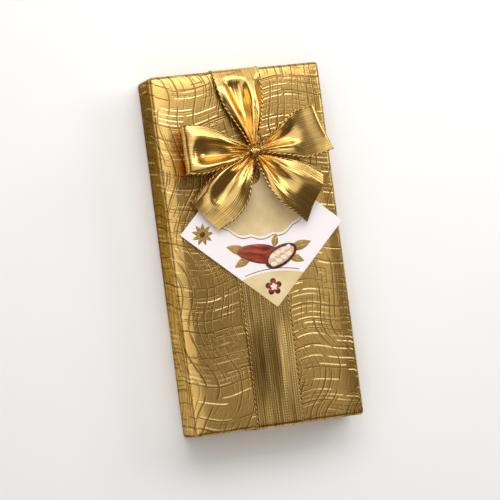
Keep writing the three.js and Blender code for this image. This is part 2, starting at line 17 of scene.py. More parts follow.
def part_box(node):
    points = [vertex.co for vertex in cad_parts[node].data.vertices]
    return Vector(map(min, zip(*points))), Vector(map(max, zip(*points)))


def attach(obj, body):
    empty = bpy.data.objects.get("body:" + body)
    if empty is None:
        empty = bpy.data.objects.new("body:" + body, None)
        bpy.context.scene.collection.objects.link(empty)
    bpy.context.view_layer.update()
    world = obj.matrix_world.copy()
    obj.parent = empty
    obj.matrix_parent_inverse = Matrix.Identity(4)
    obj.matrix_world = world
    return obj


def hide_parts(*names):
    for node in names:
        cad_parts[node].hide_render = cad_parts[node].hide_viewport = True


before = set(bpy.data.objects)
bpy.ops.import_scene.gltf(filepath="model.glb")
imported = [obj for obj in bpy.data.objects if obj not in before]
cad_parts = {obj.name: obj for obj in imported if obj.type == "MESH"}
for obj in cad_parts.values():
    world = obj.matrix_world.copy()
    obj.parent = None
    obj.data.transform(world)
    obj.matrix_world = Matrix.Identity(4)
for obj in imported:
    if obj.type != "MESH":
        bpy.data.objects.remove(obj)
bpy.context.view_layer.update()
MM = 0.001

# %% [markdown]
# ## Camera
# The box was photographed from far above with a long lens, which keeps its sides nearly parallel.
# The view could be set by eye, but a fit of the box's corners gives the place and the turn at once,
# so the camera's three axes and its place are written down as they came out of that fit.

# %% Camera
CAMERA_PLACE = (-0.501147, -0.066746, 1.645105)
CAMERA_RIGHT = (0.94923, -0.13048, 0.28624)
CAMERA_UP = (0.11356, 0.99070, 0.07500)
CAMERA_BACK = (-0.29336, -0.03869, 0.95522)
LENS, SENSOR = 187.2, 36  # millimetres

scene = bpy.context.scene
camera = bpy.data.objects.new("camera", bpy.data.cameras.new("camera"))
axes = Matrix((CAMERA_RIGHT, CAMERA_UP, CAMERA_BACK)).transposed()
camera.matrix_world = Matrix.Translation(CAMERA_PLACE) @ axes.to_4x4()
camera.data.lens = LENS
camera.data.sensor_width = SENSOR
camera.data.clip_start = 0.05
scene.collection.objects.link(camera)
scene.camera = camera
scene.view_settings.view_transform = "Standard"
print("camera stands at", [round(v, 3) for v in camera.location])

# %% [markdown]
# ## Finishes as node trees
# Every finish is a node tree on a Principled shader. Trees are easier to read as sums than as clicks,
# so one small class keeps the tree of a finish, and each of its calls adds a node and hands back what
# comes out of it. The nodes could be wired one by one, but a wave or a noise is wanted in every finish.


# %% A node tree
class Tree:
    """A node tree: every call adds a node and hands back its output."""

    def __init__(self, tree):
        self.tree = tree

    def feed(self, socket, value):
        if isinstance(value, bpy.types.NodeSocket):
            self.tree.links.new(value, socket)
        else:
            socket.default_value = value

    def node(self, kind, inputs=(), output=0, **settings):
        made = self.tree.nodes.new("ShaderNode" + kind)
        for key, value in settings.items():
            setattr(made, key, value)
        for key, value in dict(inputs).items():
            self.feed(made.inputs[key], value)
        return made.outputs[output]

    def math(self, operation, *values):
        return self.node("Math", enumerate(values), operation=operation)

    def add(self, *values):
        total = values[0]
        for value in values[1:]:
            total = self.math("ADD", total, value)
        return total

    def times(self, *values):
        total = values[0]
        for value in values[1:]:
            total = self.math("MULTIPLY", total, value)
        return total

    def wave(self, value, length, shift=0.0, height=1.0):
        turned = self.math("MULTIPLY_ADD", value, 2 * math.pi / length, shift)
        return self.times(self.math("SINE", turned), height)

    def vector(self, x=0.0, y=0.0, z=0.0):
        return self.node("CombineXYZ", enumerate((x, y, z)))

    def split(self, vector):
        return list(self.node("SeparateXYZ", {0: vector}).node.outputs)

    def noise(self, vector, scale, detail=2.0, roughness=0.5):
        inputs = {"Vector": vector, "Scale": scale, "Detail": detail, "Roughness": roughness}
        return self.node("TexNoise", inputs)

    def chance(self, x, y, z):
        """A number from 0 to 1 that is always the same for the same x, y and z."""
        where = self.vector(x, y, z)
        return self.node("TexWhiteNoise", {"Vector": where}, noise_dimensions="3D")

    def step(self, value, low, high, bottom=0.0, top=1.0):
        """A soft step from bottom, where the value is low, to top, where it is high."""
        ends = {"From Min": low, "From Max": high, "To Min": bottom, "To Max": top}
        return self.node("MapRange", {"Value": value, **ends}, interpolation_type="SMOOTHSTEP")

    def blend(self, share, first, second):
        return self.node("Mix", {0: share, 6: first, 7: second}, output=2, data_type="RGBA")


print("a tree can:", ", ".join(name for name in vars(Tree) if not name.startswith("_")))


# %% A finish
class Finish(Tree):
    """A material: its sockets are set by name, with _ for a blank."""

    def __init__(self, name, **sockets):
        self.material = bpy.data.materials.new(name)
        self.material.use_nodes = True
        super().__init__(self.material.node_tree)
        self.shader = self.tree.nodes["Principled BSDF"]
        for socket, value in sockets.items():
            self.set(socket.replace("_", " "), value)

    def set(self, socket, value):
        self.feed(self.shader.inputs[socket], value)

    def bump(self, height, depth, strength=1.0, **under):
        inputs = {"Strength": strength, "Distance": depth * MM, "Height": height, **under}
        return self.node("Bump", inputs)

    def relief(self, height, depth, strength=1.0, **under):
        self.set("Normal", self.bump(height, depth, strength, **under))

    def plan(self):
        """The flat plan of a sheet in millimetres: as a vector, across and along."""
        flat = self.node("UVMap", uv_map="plan")
        return (flat, *self.split(flat)[:2])

    def place(self):
        """The place on the piece in millimetres: as a vector, and its x, y and z."""
        where = self.node("TexCoord", output=3)
        scaled = self.node("VectorMath", {0: where, 3: 1 / MM}, operation="SCALE")
        return (scaled, *self.split(scaled))


def colour(red, green, blue):
    """A colour as a picture gives it, from 0 to 255, turned into what a shader wants."""
    shares = (red / 255, green / 255, blue / 255)
    return (*(s / 12.92 if s <= 0.04045 else ((s + 0.055) / 1.055) ** 2.4 for s in shares), 1.0)


print("mid grey for a shader:", [round(v, 3) for v in colour(128, 128, 128)])

# %% [markdown]
# ## Floor, light and air
# The photograph is a studio shot on white. Gold shows little but what it mirrors, so the room matters more
# than the lamps: it is pale overhead on the left and on the far wall, and a dim warm brown elsewhere, which
# draws the bright and dark bands in the bow and lets the foil darken towards the near end.
# The room could be built of white cards, but a world painted by direction mirrors the same and leaves no
# card to hide. Two soft lamps, over the far end and on the right, shade the shapes, and a plain white floor
# keeps the box's shadow.

# %% Floor
FLOOR_REACH, FLOOR_LEVEL = 6.0, -0.0001  # metres
floor_corners = ((-1, -1), (1, -1), (1, 1), (-1, 1))
floor_points = [(x * FLOOR_REACH, y * FLOOR_REACH, FLOOR_LEVEL) for x, y in floor_corners]
floor_mesh = bpy.data.meshes.new("floor")
floor_mesh.from_pydata(floor_points, [], [(0, 1, 2, 3)])
floor = bpy.data.objects.new("floor", floor_mesh)
scene.collection.objects.link(floor)

paint = Finish("white floor", Roughness=0.9, Specular_IOR_Level=0.0)
speck = paint.noise(paint.place()[0], 0.02, 3.0)
paint.set("Base Color", paint.blend(speck, colour(248, 248, 248), colour(252, 252, 252)))
floor_mesh.materials.append(paint.material)
print("floor is", 2 * FLOOR_REACH, "m wide")

# %% Room and lamps
PALE_WALL, DARK_WALL = 1.0, 0.11
DIM_SIDE, PALE_SIDE = 0.13, 1.2  # the ceiling on the right and on the left
WARM, WHITE = (1.0, 0.78, 0.46, 1), (1.0, 1.0, 1.0, 1)
room = bpy.data.worlds.new("studio room")
room.use_nodes = True
scene.world = room
air = Tree(room.node_tree)
# The way that a ray looks: x to the right, y to the far end and z up, from -1 to 1.
x, y, z = air.split(air.node("TexCoord"))
ceiling = air.step(x, 0.36, 0.0, DIM_SIDE, PALE_SIDE)
overhead = air.step(z, 0.8, 0.93)
high_left = air.times(air.step(x, 0.2, -0.35), air.step(z, 0.4, 0.66))
far_wall = air.times(air.step(y, 0.5, 0.7), air.step(z, 0.2, 0.4))
pale_part = air.math("MAXIMUM", high_left, far_wall)
walls = air.math("MULTIPLY_ADD", pale_part, PALE_WALL - DARK_WALL, DARK_WALL)
bright = air.add(walls, air.times(overhead, air.math("SUBTRACT", ceiling, walls)))
walls_paint = room.node_tree.nodes["Background"].inputs
air.feed(walls_paint["Color"], air.blend(air.step(bright, 0.12, 0.7), WARM, WHITE))
air.feed(walls_paint["Strength"], bright)


def softbox(name, place, target, width, length, brightness):
    """A soft lamp that is as bright to look at as the number says, whatever its size."""
    lamp = bpy.data.lights.new(name, "AREA")
    lamp.shape = "RECTANGLE"
    lamp.size, lamp.size_y = width, length
    lamp.energy = brightness * math.pi * width * length
    made = bpy.data.objects.new(name, lamp)
    made.location = place
    made.visible_camera = False
    made.rotation_euler = (Vector(target) - Vector(place)).to_track_quat("-Z", "Y").to_euler()
    scene.collection.objects.link(made)


softbox("lamp over the far end", (0.0, 0.4, 0.58), (0.0, 0.08, 0.03), 0.6, 0.36, 2.8)
softbox("lamp on the right", (0.76, 0.4, 0.56), (0.0, 0.0, 0.03), 0.6, 0.52, 3.0)

# %% [markdown]
# ## Meshes from rings and grids
# Paper, ribbon, pralines and print are all made from rows of points: a ring of points for each level of
# a closed form, or a grid for a sheet. Points are in millimetres, as on the maker's drawing, and become
# metres when the mesh is made. The flat plan of a sheet goes with it as a UV map, in millimetres too,
# so a pattern on the paper or the ribbon follows its folds.


# %% A piece
def piece(name, parts, body, replaces=(), sharp=None):
    """One object from parts, each with its points, faces, finish and flat plan."""
    points, faces, plans, finishes, which = [], [], [], [], []
    for part_points, part_faces, finish, plan in parts:
        start = len(points)
        points += (np.asarray(part_points, float) * MM).tolist()
        plans += np.asarray(plan, float).tolist()
        if finish not in finishes:
            finishes.append(finish)
        faces += [[start + index for index in face] for face in part_faces]
        which += [finishes.index(finish)] * len(part_faces)
    mesh = bpy.data.meshes.new(name)
    mesh.from_pydata(points, [], faces)
    mesh.polygons.foreach_set("use_smooth", [True] * len(faces))
    mesh.polygons.foreach_set("material_index", which)
    corners = np.empty(len(mesh.loops), np.int32)
    mesh.loops.foreach_get("vertex_index", corners)
    flat = np.asarray(plans, np.float32)[corners]
    mesh.uv_layers.new(name="plan").uv.foreach_set("vector", flat.ravel())
    mesh.update()
    if sharp is not None:
        mesh.set_sharp_from_angle(angle=math.radians(sharp))
    for finish in finishes:
        mesh.materials.append(finish.material)
    made = bpy.data.objects.new(name, mesh)
    scene.collection.objects.link(made)
    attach(made, body)
    if replaces:
        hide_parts(*replaces)
    return made


print("points are drawn in units of", MM, "m")


# %% Faces of tubes and sheets
def tube_faces(rings, sides, caps=True, loop=False):
    """Faces of a stack of rings, closed by its two ends, or in a loop, or open."""
    faces = []
    for ring in range(rings if loop else rings - 1):
        low, high = ring * sides, (ring + 1) % rings * sides
        for side in range(sides):
            after = (side + 1) % sides
            faces.append((low + side, low + after, high + after, high + side))
    if caps and not loop:
        faces.append(tuple(reversed(range(sides))))
        faces.append(tuple(range((rings - 1) * sides, rings * sides)))
    return faces


def sheet_faces(rows, columns):
    """Faces of a sheet with two layers: the upper layer's points first, then the lower one's."""
    below = rows * columns
    faces = []
    for row in range(rows - 1):
        for column in range(columns - 1):
            a = row * columns + column
            faces.append((a, a + 1, a + 1 + columns, a + columns))
            faces.append((below + a, below + a + columns, below + a + columns + 1, below + a + 1))
        left, right = row * columns, row * columns + columns - 1
        faces.append((left, left + columns, below + left + columns, below + left))
        faces.append((right, below + right, below + right + columns, right + columns))
    for column in range(columns - 1):
        end = (rows - 1) * columns + column
        faces.append((column, below + column, below + column + 1, column + 1))
        faces.append((end, end + 1, below + end + 1, below + end))
    return faces


print("faces of a box as a tube:", len(tube_faces(2, 4)), "and as a sheet:", len(sheet_faces(2, 2)))


# %% A smooth run
def smooth_run(values, share):
    """A smooth run through equally spaced values, at shares from 0 to 1."""
    values = np.asarray(values, float)
    reach = np.asarray(share) * (len(values) - 1)
    index = np.clip(np.floor(reach).astype(int), 0, len(values) - 2)
    t = (reach - index) if values.ndim == 1 else (reach - index)[:, None]
    a, b, c, d = (values[np.clip(index + k, 0, len(values) - 1)] for k in (-1, 0, 1, 2))
    return b + 0.5 * t * (c - a + t * (2 * a - 5 * b + 4 * c - d + t * (3 * (b - c) + d - a)))


print("a run from 0 to 1 is half way at", float(smooth_run([0, 1], np.array([0.5]))[0]))

# %% [markdown]
# ## Embossed gold foil
# The paper is laminated with gold foil and rolled with a wavy hatch: two families of short strokes cross
# each other and sway, with painted shade in the strokes and a painted highlight on the ridges left between
# them.
# An image could carry that, but strokes drawn in nodes stay sharp at any distance. Each family is cut
# into lanes across and stretches along, a chance decides which stretches are drawn, and the lanes are
# swayed by waves.


# %% Strokes of the emboss
def strokes(foil, across, along, lane, stretch, share, half_width, seed):
    """Strokes that lie in lanes: 1 on a stroke and 0 off it, and how far off its middle a point lies."""
    lanes = foil.math("DIVIDE", across, lane)
    number = foil.math("FLOOR", lanes)
    swing = foil.math("MULTIPLY_ADD", foil.chance(number, seed, 0.5), 0.5, -0.75)
    off = foil.times(foil.add(foil.math("FRACT", lanes), swing), lane)
    line = foil.step(foil.math("ABSOLUTE", off), half_width, half_width * 0.35)
    run = foil.math("DIVIDE", along, stretch)
    run = foil.math("MULTIPLY_ADD", foil.chance(number, seed, 1.5), 9.0, run)
    drawn = foil.chance(number, foil.math("FLOOR", run), seed + 0.25)
    inside = foil.math("FRACT", run)
    ends = foil.math("MINIMUM", foil.step(inside, 0.02, 0.1), foil.step(inside, 0.98, 0.9))
    return foil.times(line, ends, foil.math("LESS_THAN", drawn, share)), off


# Each family: width of a lane, length of a stretch, share drawn, half width of a stroke, and its seed.
DEEP_LONGWAYS, DEEP_CROSSWAYS = (5.6, 46, 0.74, 0.76, 3.0), (8.0, 38, 0.6, 0.62, 5.0)
SHORT_LONGWAYS, SHORT_CROSSWAYS = (3.7, 11.5, 0.6, 0.56, 7.0), (3.5, 10.5, 0.5, 0.54, 9.0)
PALE_RIDGES = (3.6, 22, 0.5, 0.74, 11.0)


def hatch(foil, flat, x, y):
    """The strokes, which get painted shade, the ridges, which get a painted highlight, and how far a point
    lies off the middle of its ridge.
    """
    drift = foil.noise(flat, 0.021, 1.0)
    sway = foil.add(foil.wave(y, 66, 0.4, 4.4), foil.wave(y, 151, 1.9, 5.0), foil.times(drift, 16.0))
    arch = foil.add(foil.wave(x, 126, 3.3, 4.6), foil.wave(x, 47, 0.8, 1.1), foil.times(drift, -9.0))
    u, v = foil.add(x, sway), foil.add(y, arch)
    busy = foil.step(foil.noise(foil.vector(x, y, 40.0), 0.034, 1.0), 0.36, 0.62)
    deep = [strokes(foil, u, v, *DEEP_LONGWAYS)[0], strokes(foil, v, u, *DEEP_CROSSWAYS)[0]]
    short = [strokes(foil, u, v, *SHORT_LONGWAYS)[0], strokes(foil, v, u, *SHORT_CROSSWAYS)[0]]
    deep, short = foil.math("MAXIMUM", *deep), foil.math("MAXIMUM", *short)
    dark = foil.math("MAXIMUM", deep, foil.times(short, foil.math("MULTIPLY_ADD", busy, 0.65, 0.35)))
    calm = foil.math("MULTIPLY_ADD", busy, -0.9, 1.0)
    pale, leaning = strokes(foil, v, u, *PALE_RIDGES)
    return dark, foil.times(pale, calm, foil.math("SUBTRACT", 1.0, dark)), leaning


families = (DEEP_LONGWAYS, DEEP_CROSSWAYS, SHORT_LONGWAYS, SHORT_CROSSWAYS, PALE_RIDGES)
print("lanes of the hatch in mm:", [family[0] for family in families])

# %% [markdown]
# ## Paper that isn't quite flat
# Glued paper pulls a little hollow between its edges, rolls down towards them and twists down the left wall,
# and foil shows each degree of that as paler or darker gold. The slopes could all be modelled, but board
# keeps the paper flat to a fraction of a millimetre. So the mesh has the crown and the soft edge, and the
# finish adds the last few degrees as a broad, smooth bump under the emboss.

# %% Gold foil paper
GOLD = (0.70, 0.445, 0.138)
# Painted shade for the hatch's strokes and a painted highlight for its ridges, in the foil's colour.
PAINTED_STROKE_SHADE = (0.17, 0.095, 0.022)
PAINTED_RIDGE_HIGHLIGHT = (1.0, 0.77, 0.38)
GLANCING = (0.22, 0.18, 0.14, 1)  # what is left of the mirror at a glancing look, under the lacquer
TOP_HALF, HOLLOW_END, HOLLOW_OFF = 55, 50.0, -0.16  # the hollow lies a little right of the middle
WALL_TOP, WALL_DROP = 61.5, -26.0  # where the left wall begins on the plan, and how far down it goes
TWIST_TURNS, TWIST = -25.0, 0.0012  # where the twist changes its way, and how strong it is
ROLL_DOWN, ROLL_FALL = 9.0, -0.001  # width and fall of the strip that rolls down towards an edge
ROLL_X, ROLL_Y = 46.0, 105.0  # where that strip begins
PULL, EMBOSS = 2.4, 0.12  # depth of the broad slopes and of the strokes


def tinted(shade, factor):
    return (*(min(v * factor, 1.0) for v in shade), 1.0)


def pulled_paper(foil, x, y):
    """The normal of paper with a hollow, a twisted left wall and edges that roll down."""
    kept = foil.node("Clamp", {"Value": x, "Min": -HOLLOW_END, "Max": HOLLOW_END})
    off = foil.math("MULTIPLY_ADD", kept, 1 / TOP_HALF, HOLLOW_OFF)
    pulled = foil.times(foil.step(y, 118, 48), foil.step(y, -95, -45, 0.25, 1.0))
    hollow = foil.times(foil.math("MULTIPLY_ADD", off, off, -0.5), pulled)
    down_wall = foil.math("SMOOTH_MIN", foil.add(x, WALL_TOP), 0.0, 3.5)
    down_wall = foil.math("MAXIMUM", down_wall, WALL_DROP)
    twist = foil.times(down_wall, foil.add(y, TWIST_TURNS), TWIST)
    falls = []
    for along, start in ((x, ROLL_X), (y, ROLL_Y)):
        past = foil.add(foil.math("ABSOLUTE", along), -start)
        past = foil.node("Clamp", {"Value": past, "Min": 0.0, "Max": ROLL_DOWN})
        falls.append(foil.times(past, past, ROLL_FALL))
    return foil.bump(foil.add(hollow, twist, *falls), PULL)


def gold_foil(name, roughness):
    """Foil paper: gold that wanders a little, with painted shade and a duller finish in the strokes and a
    painted highlight on the ridges.
    """
    foil = Finish(name, Metallic=1.0, Specular_Tint=GLANCING)
    flat, x, y = foil.plan()
    dark, pale, leaning = hatch(foil, flat, x, y)
    grain = foil.noise(foil.vector(foil.times(x, 2.1), foil.times(y, 0.09), 0.0), 1.0, 3.0, 0.7)
    cloud = foil.noise(flat, 0.06, 2.0)
    tone = foil.blend(cloud, tinted(GOLD, 0.92), tinted(GOLD, 1.08))
    # Painted shade: the strokes are darkened in the colour.
    tone = foil.blend(foil.times(dark, 0.8), tone, tinted(PAINTED_STROKE_SHADE, 1))
    # Painted highlight: the ridges are paled in the colour.
    foil.set("Base Color", foil.blend(foil.times(pale, 0.85), tone, tinted(PAINTED_RIDGE_HIGHLIGHT, 1)))
    rough = foil.math("MULTIPLY_ADD", grain, 0.16, roughness - 0.08)
    foil.set("Roughness", foil.add(rough, foil.times(dark, 0.1), foil.times(pale, 0.16)))
    ridges = foil.add(foil.times(pale, 0.3), foil.times(pale, leaning, -2.8), foil.times(dark, -1.0))
    skin = foil.add(ridges, foil.times(grain, 0.2), foil.times(cloud, 1.2))
    foil.relief(skin, EMBOSS, 0.6, Normal=pulled_paper(foil, x, y))
    return foil


foil_paper = gold_foil("embossed gold foil paper", 0.28)
print("nodes in the foil:", len(foil_paper.tree.nodes))

# %% [markdown]
# ## Paper over the lid and the base
# A rigid box is board wrapped in paper: over the top, round a soft edge, down the walls, round the rim and
# up inside. The wrap could be two boxes and a bevel, but the paper's flat plan would be lost. So it is
# lofted from rings, and each ring also says how far the paper has run from the top's edge, which unrolls
# it for the emboss.

# %% Rings of paper
ALONG, ACROSS, CORNER = 40, 20, 6  # steps on a long side, a short side and round a corner
LEAST_RADIUS = 0.3
RIPPLE, SOFT_EDGE = 0.05, 9  # the glued top is a little uneven, up to this far from its edge


def outline(width, length, radius):
    """Points round a rectangle with round corners, and the way out at each of them."""
    points, out = [], []
    for quarter, (right, up) in enumerate(((1, 1), (-1, 1), (-1, -1), (1, -1))):
        centre = np.array([right * (width / 2 - radius), up * (length / 2 - radius)])
        for step in range(CORNER + 1):
            angle = (quarter + step / CORNER) * math.pi / 2
            out.append((math.cos(angle), math.sin(angle)))
            points.append(centre + radius * np.array(out[-1]))
        side, steps = (width, ACROSS) if quarter % 2 == 0 else (length, ALONG)
        corner, facing = points[-1], out[-1]
        along = np.array([-facing[1], facing[0]]) * (side - 2 * radius)
        for step in range(1, steps):
            points.append(corner + along * step / steps)
            out.append(facing)
    return np.array(points), np.array(out)


def wrap(name, width, length, corner, profile, replaced, body, loop=False):
    """Paper on rings. A row of the profile is how far out it is, how high, and how far the paper has run."""
    start, out = outline(width, length, max(corner, LEAST_RADIUS))
    points, plan = [], []
    for outward, z, run in profile:
        radius = max(corner + outward, LEAST_RADIUS)
        ring = outline(width + 2 * outward, length + 2 * outward, radius)[0]
        ripple, on_top = 0.0, run == outward
        if on_top:
            ring_x, ring_y = ring.T
            ripple = RIPPLE * (np.sin(ring_x / 7.3 + ring_y / 19) + np.sin(ring_y / 11))
            ripple *= min(1, -outward / SOFT_EDGE)
        points.append(np.c_[ring, np.full(len(ring), z) + ripple])
        plan.append(ring if on_top else start + out * run)
    faces = tube_faces(len(profile), len(start), not loop, loop)
    if not loop:
        faces = [face[::-1] for face in faces]
    parts = [(np.concatenate(points), faces, foil_paper, np.concatenate(plan))]
    print(name, "has", len(profile), "rings of", len(start), "points")
    piece(name, parts, body, [replaced], 50)


print("a ring has", len(outline(100, 200, 2)[0]), "points")

# %% Wrap of the lid
LID_WIDTH, LID_LENGTH, LID_TOP, LID_RIM = 116, 234, 31, 1.2
EDGE_RADIUS, CORNER_RADIUS, PAPER, LID_WALL, TURN_IN = 3, 2.4, 0.3, 2.2, 14
CROWN, SOFTENED = 0.12, 0.25  # the paper swells a little and falls off towards the edge


def lid_profile():
    rows = []
    for inset in (-54.5, -48, -40, -32, -24, -16, -10, -7, -5.5, -4, -2.5, -1.2):
        rows.append((inset, LID_TOP + CROWN - SOFTENED * max(0, 1 + inset / SOFT_EDGE) ** 2, inset))
    edge_top = LID_TOP + CROWN - SOFTENED
    for angle in np.linspace(0, math.pi / 2, 11):
        drop = (edge_top - LID_TOP + EDGE_RADIUS) * (1 - math.cos(angle))
        rows.append((EDGE_RADIUS * math.sin(angle), edge_top - drop, EDGE_RADIUS * angle))
    edge = rows[-1][2]
    wall = LID_TOP - EDGE_RADIUS - LID_RIM
    for s in (0.2, 0.4, 0.6, 0.8, 0.98):
        rows.append((EDGE_RADIUS, LID_RIM + wall * (1 - s), edge + wall * s))
    foot = edge + wall
    inside = EDGE_RADIUS - LID_WALL
    rows += [(EDGE_RADIUS - 0.25, LID_RIM, foot + 0.3), (inside + 0.25, LID_RIM, foot + 2)]
    rows.append((inside, LID_RIM + 0.25, foot + 2.4))
    rows.append((inside, LID_RIM + TURN_IN, foot + LID_WALL + TURN_IN))
    lining, skin = inside + PAPER, EDGE_RADIUS - PAPER
    rows += [(lining, LID_RIM + TURN_IN, foot + 16.5), (lining, LID_RIM + PAPER, foot + 30)]
    rows += [(skin, LID_RIM + PAPER, foot + 32), (skin, LID_TOP - EDGE_RADIUS, foot + 58)]
    return rows + [(0, LID_TOP - PAPER, foot + 62), (-50, LID_TOP - PAPER, foot + 112)]


flat_width, flat_length = LID_WIDTH - 2 * EDGE_RADIUS, LID_LENGTH - 2 * EDGE_RADIUS
flat_top = (flat_width, flat_length, CORNER_RADIUS - EDGE_RADIUS)
wrap("lid_gold_wrap", *flat_top, lid_profile(), "lid_paper", "lid")

# %% Wrap of the base
BASE_WIDTH, BASE_LENGTH, BASE_RIM, BASE_FOOT = 109.2, 227.2, 25.35, 0.4


def base_profile():
    wall = BASE_RIM - BASE_FOOT
    rows = [(0, BASE_FOOT + wall * s, wall * (1 - s)) for s in (0, 0.25, 0.5, 0.75, 0.985)]
    rows += [(-0.35, BASE_RIM, -0.4), (0.35 - LID_WALL, BASE_RIM, -2)]
    rows += [(-LID_WALL, BASE_RIM - 0.35, -2.4), (-LID_WALL, BASE_RIM - TURN_IN, -2.2 - TURN_IN)]
    lining = PAPER - LID_WALL
    rows += [(lining, BASE_RIM - TURN_IN, -16.5), (lining, BASE_RIM - PAPER, -3)]
    return rows + [(-PAPER, BASE_RIM - PAPER, 0), (-PAPER, BASE_FOOT, wall)]


wrap("base_gold_wrap", BASE_WIDTH, BASE_LENGTH, 0.4, base_profile(), "base_paper", "base", loop=True)

# %% [markdown]
# ## Board and tray
# Under the paper is greyboard, pressed from waste paper, with flecks and fibres in it. The tray is a thin
# brown plastic sheet drawn down over a mould. Both keep their CAD shapes, which are right as they are,
# so they only get finishes, which read the piece's own place in millimetres.


# %% Greyboard and tray plastic
def dress(node, finish, sharp):
    """A CAD piece that is shown as it is, with a finish, and smooth below the sharp angle."""
    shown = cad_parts[node]
    shown.data.materials.clear()
    shown.data.materials.append(finish.material)
    shown.data.polygons.foreach_set("use_smooth", [True] * len(shown.data.polygons))
    shown.data.set_sharp_from_angle(angle=math.radians(sharp))


greyboard = Finish("greyboard", Metallic=0.0)
where, x, y, z = greyboard.place()
drawn_out = greyboard.vector(greyboard.times(x, 0.35), greyboard.times(y, 2.4), z)
fibres = greyboard.noise(drawn_out, 1.0, 4.0, 0.7)
flecks = greyboard.step(greyboard.noise(where, 1.7, 2.0), 0.66, 0.74)
pulp = greyboard.blend(fibres, colour(196, 188, 172), colour(222, 214, 198))
flecks = greyboard.times(flecks, 0.5)
greyboard.set("Base Color", greyboard.blend(flecks, pulp, colour(120, 104, 84)))
greyboard.set("Roughness", greyboard.step(fibres, 0.2, 0.8, 0.8, 0.95))
greyboard.relief(fibres, 0.05, 0.5)
dress("base_board", greyboard, 30)
dress("lid_board", greyboard, 30)

drawn_plastic = Finish("drawn brown plastic", IOR=1.5)
where, x, y, z = drawn_plastic.place()
thinning = drawn_plastic.step(z, 2.0, 13.0)
cloudy = drawn_plastic.times(drawn_plastic.noise(where, 0.09, 3.0), 0.5)
sheet_tone = drawn_plastic.blend(thinning, colour(92, 56, 30), colour(72, 40, 20))
drawn_plastic.set("Base Color", drawn_plastic.blend(cloudy, sheet_tone, colour(104, 66, 36)))
fine = drawn_plastic.noise(where, 2.6, 2.0)
drawn_plastic.set("Roughness", drawn_plastic.step(fine, 0.2, 0.8, 0.26, 0.4))
drawn_plastic.relief(fine, 0.03, 0.4)
dress("praline_tray", drawn_plastic, 35)
print("nodes in the greyboard:", len(greyboard.tree.nodes), "in the plastic:", len(drawn_plastic.tree.nodes))

# %% [markdown]
# ## Gold ribbon
# The ribbon is a lamé weave, 31 mm wide: flat metal threads along it, a finer rib across it, and a
# twisted cord as selvage on either edge. Its bands of light come from its shape; the weave roughens them a
# little and paints shade into the gaps between threads and small glints as painted highlights. Where the
# ribbon lies pressed on the lid, its colour gets painted dark streaks, standing in for dark reflections, and
# rows of painted glints. The finish reads the ribbon's flat plan, across and along, in millimetres.

# %% Ribbon finish
RIBBON_WIDTH, RIBBON = 31.0, 0.3
RIBBON_GOLD, PAINTED_GAP_SHADE, PAINTED_GLINT = (0.80, 0.525, 0.165), (0.30, 0.16, 0.035, 1), (1.0, 0.79, 0.37, 1)
RIBBON_SHEEN = {"Specular_Tint": (0.85, 0.62, 0.3, 1), "Coat_Weight": 0.2, "Coat_Roughness": 0.2}


def lame(name, streak_tones=(0.74, 1.16), gaps=0.36, painted_glint_rows=0.0):
    """The weave: the range of its streaked tone, which paints dark reflections on the pressed ribbon, how
    dark the painted shade in the gaps between threads is, and how many painted glints run in rows.
    """
    weave = Finish(name, Metallic=1.0, **RIBBON_SHEEN)
    flat, across, along = weave.plan()
    rib = weave.math("MULTIPLY_ADD", weave.wave(along, 0.95), 0.5, 0.5)
    thread = weave.math("MULTIPLY_ADD", weave.wave(across, 1.5), 0.5, 0.5)

    def drawn_out(across_scale, along_scale, seed):
        return weave.vector(weave.times(across, across_scale), weave.times(along, along_scale), seed)

    streak = weave.noise(drawn_out(1.3, 0.03, 0.0), 1.0, 3.0, 0.65)
    speck = weave.noise(drawn_out(2.0, 2.4, 3.0), 1.0, 2.0, 0.7)
    # The streaked tone; on the pressed ribbon its wide range paints dark streaks that stand in for dark
    # reflections.
    tone = weave.blend(weave.step(streak, 0.3, 0.7), *(tinted(RIBBON_GOLD, share) for share in streak_tones))
    # Painted shade: the gaps between threads are darkened in the colour; the same mask also roughens them.
    gap = weave.times(weave.step(thread, 0.34, 0.0), gaps)
    tone = weave.blend(gap, tone, PAINTED_GAP_SHADE)
    # Painted glints: bright specks in the colour, and on the pressed ribbon also rows of painted glints.
    painted_glint = weave.times(weave.step(speck, 0.62, 0.8), 0.3)
    if painted_glint_rows:
        painted_glint_columns = weave.step(weave.noise(drawn_out(0.62, 0.012, 7.0), 1.0), 0.5, 0.6)
        painted_glint_dashes = weave.times(weave.step(weave.wave(along, 1.7), 0.1, 0.8), painted_glint_columns, painted_glint_rows)
        painted_glint = weave.math("MAXIMUM", painted_glint, painted_glint_dashes)
    weave.set("Base Color", weave.blend(painted_glint, tone, PAINTED_GLINT))
    rough = weave.math("MULTIPLY_ADD", speck, 0.12, 0.16)
    weave.set("Roughness", weave.add(rough, weave.times(gap, 0.25)))
    woven = weave.add(weave.times(rib, 0.5), weave.times(thread, 1.0), weave.times(streak, 1.6))
    weave.relief(woven, 0.04, 0.45)
    return weave


ribbon_weave = lame("gold lame ribbon")
# Pressed ribbon: painted dark streaks, stronger painted shade in the gaps and rows of painted glints.
painted_streak_weave = lame("pressed gold lame ribbon with painted streaks and glints", (0.36, 1.2), 0.5, 0.8)
print("nodes in the two weaves:", [len(weave.tree.nodes) for weave in (ribbon_weave, painted_streak_weave)])

# %% Selvage finish
BEAD = 3.2  # length of one turn of the cord
# Painted shade for the grooves between the cord's plies.
PAINTED_GROOVE_SHADE = (0.07, 0.035, 0.008, 1)


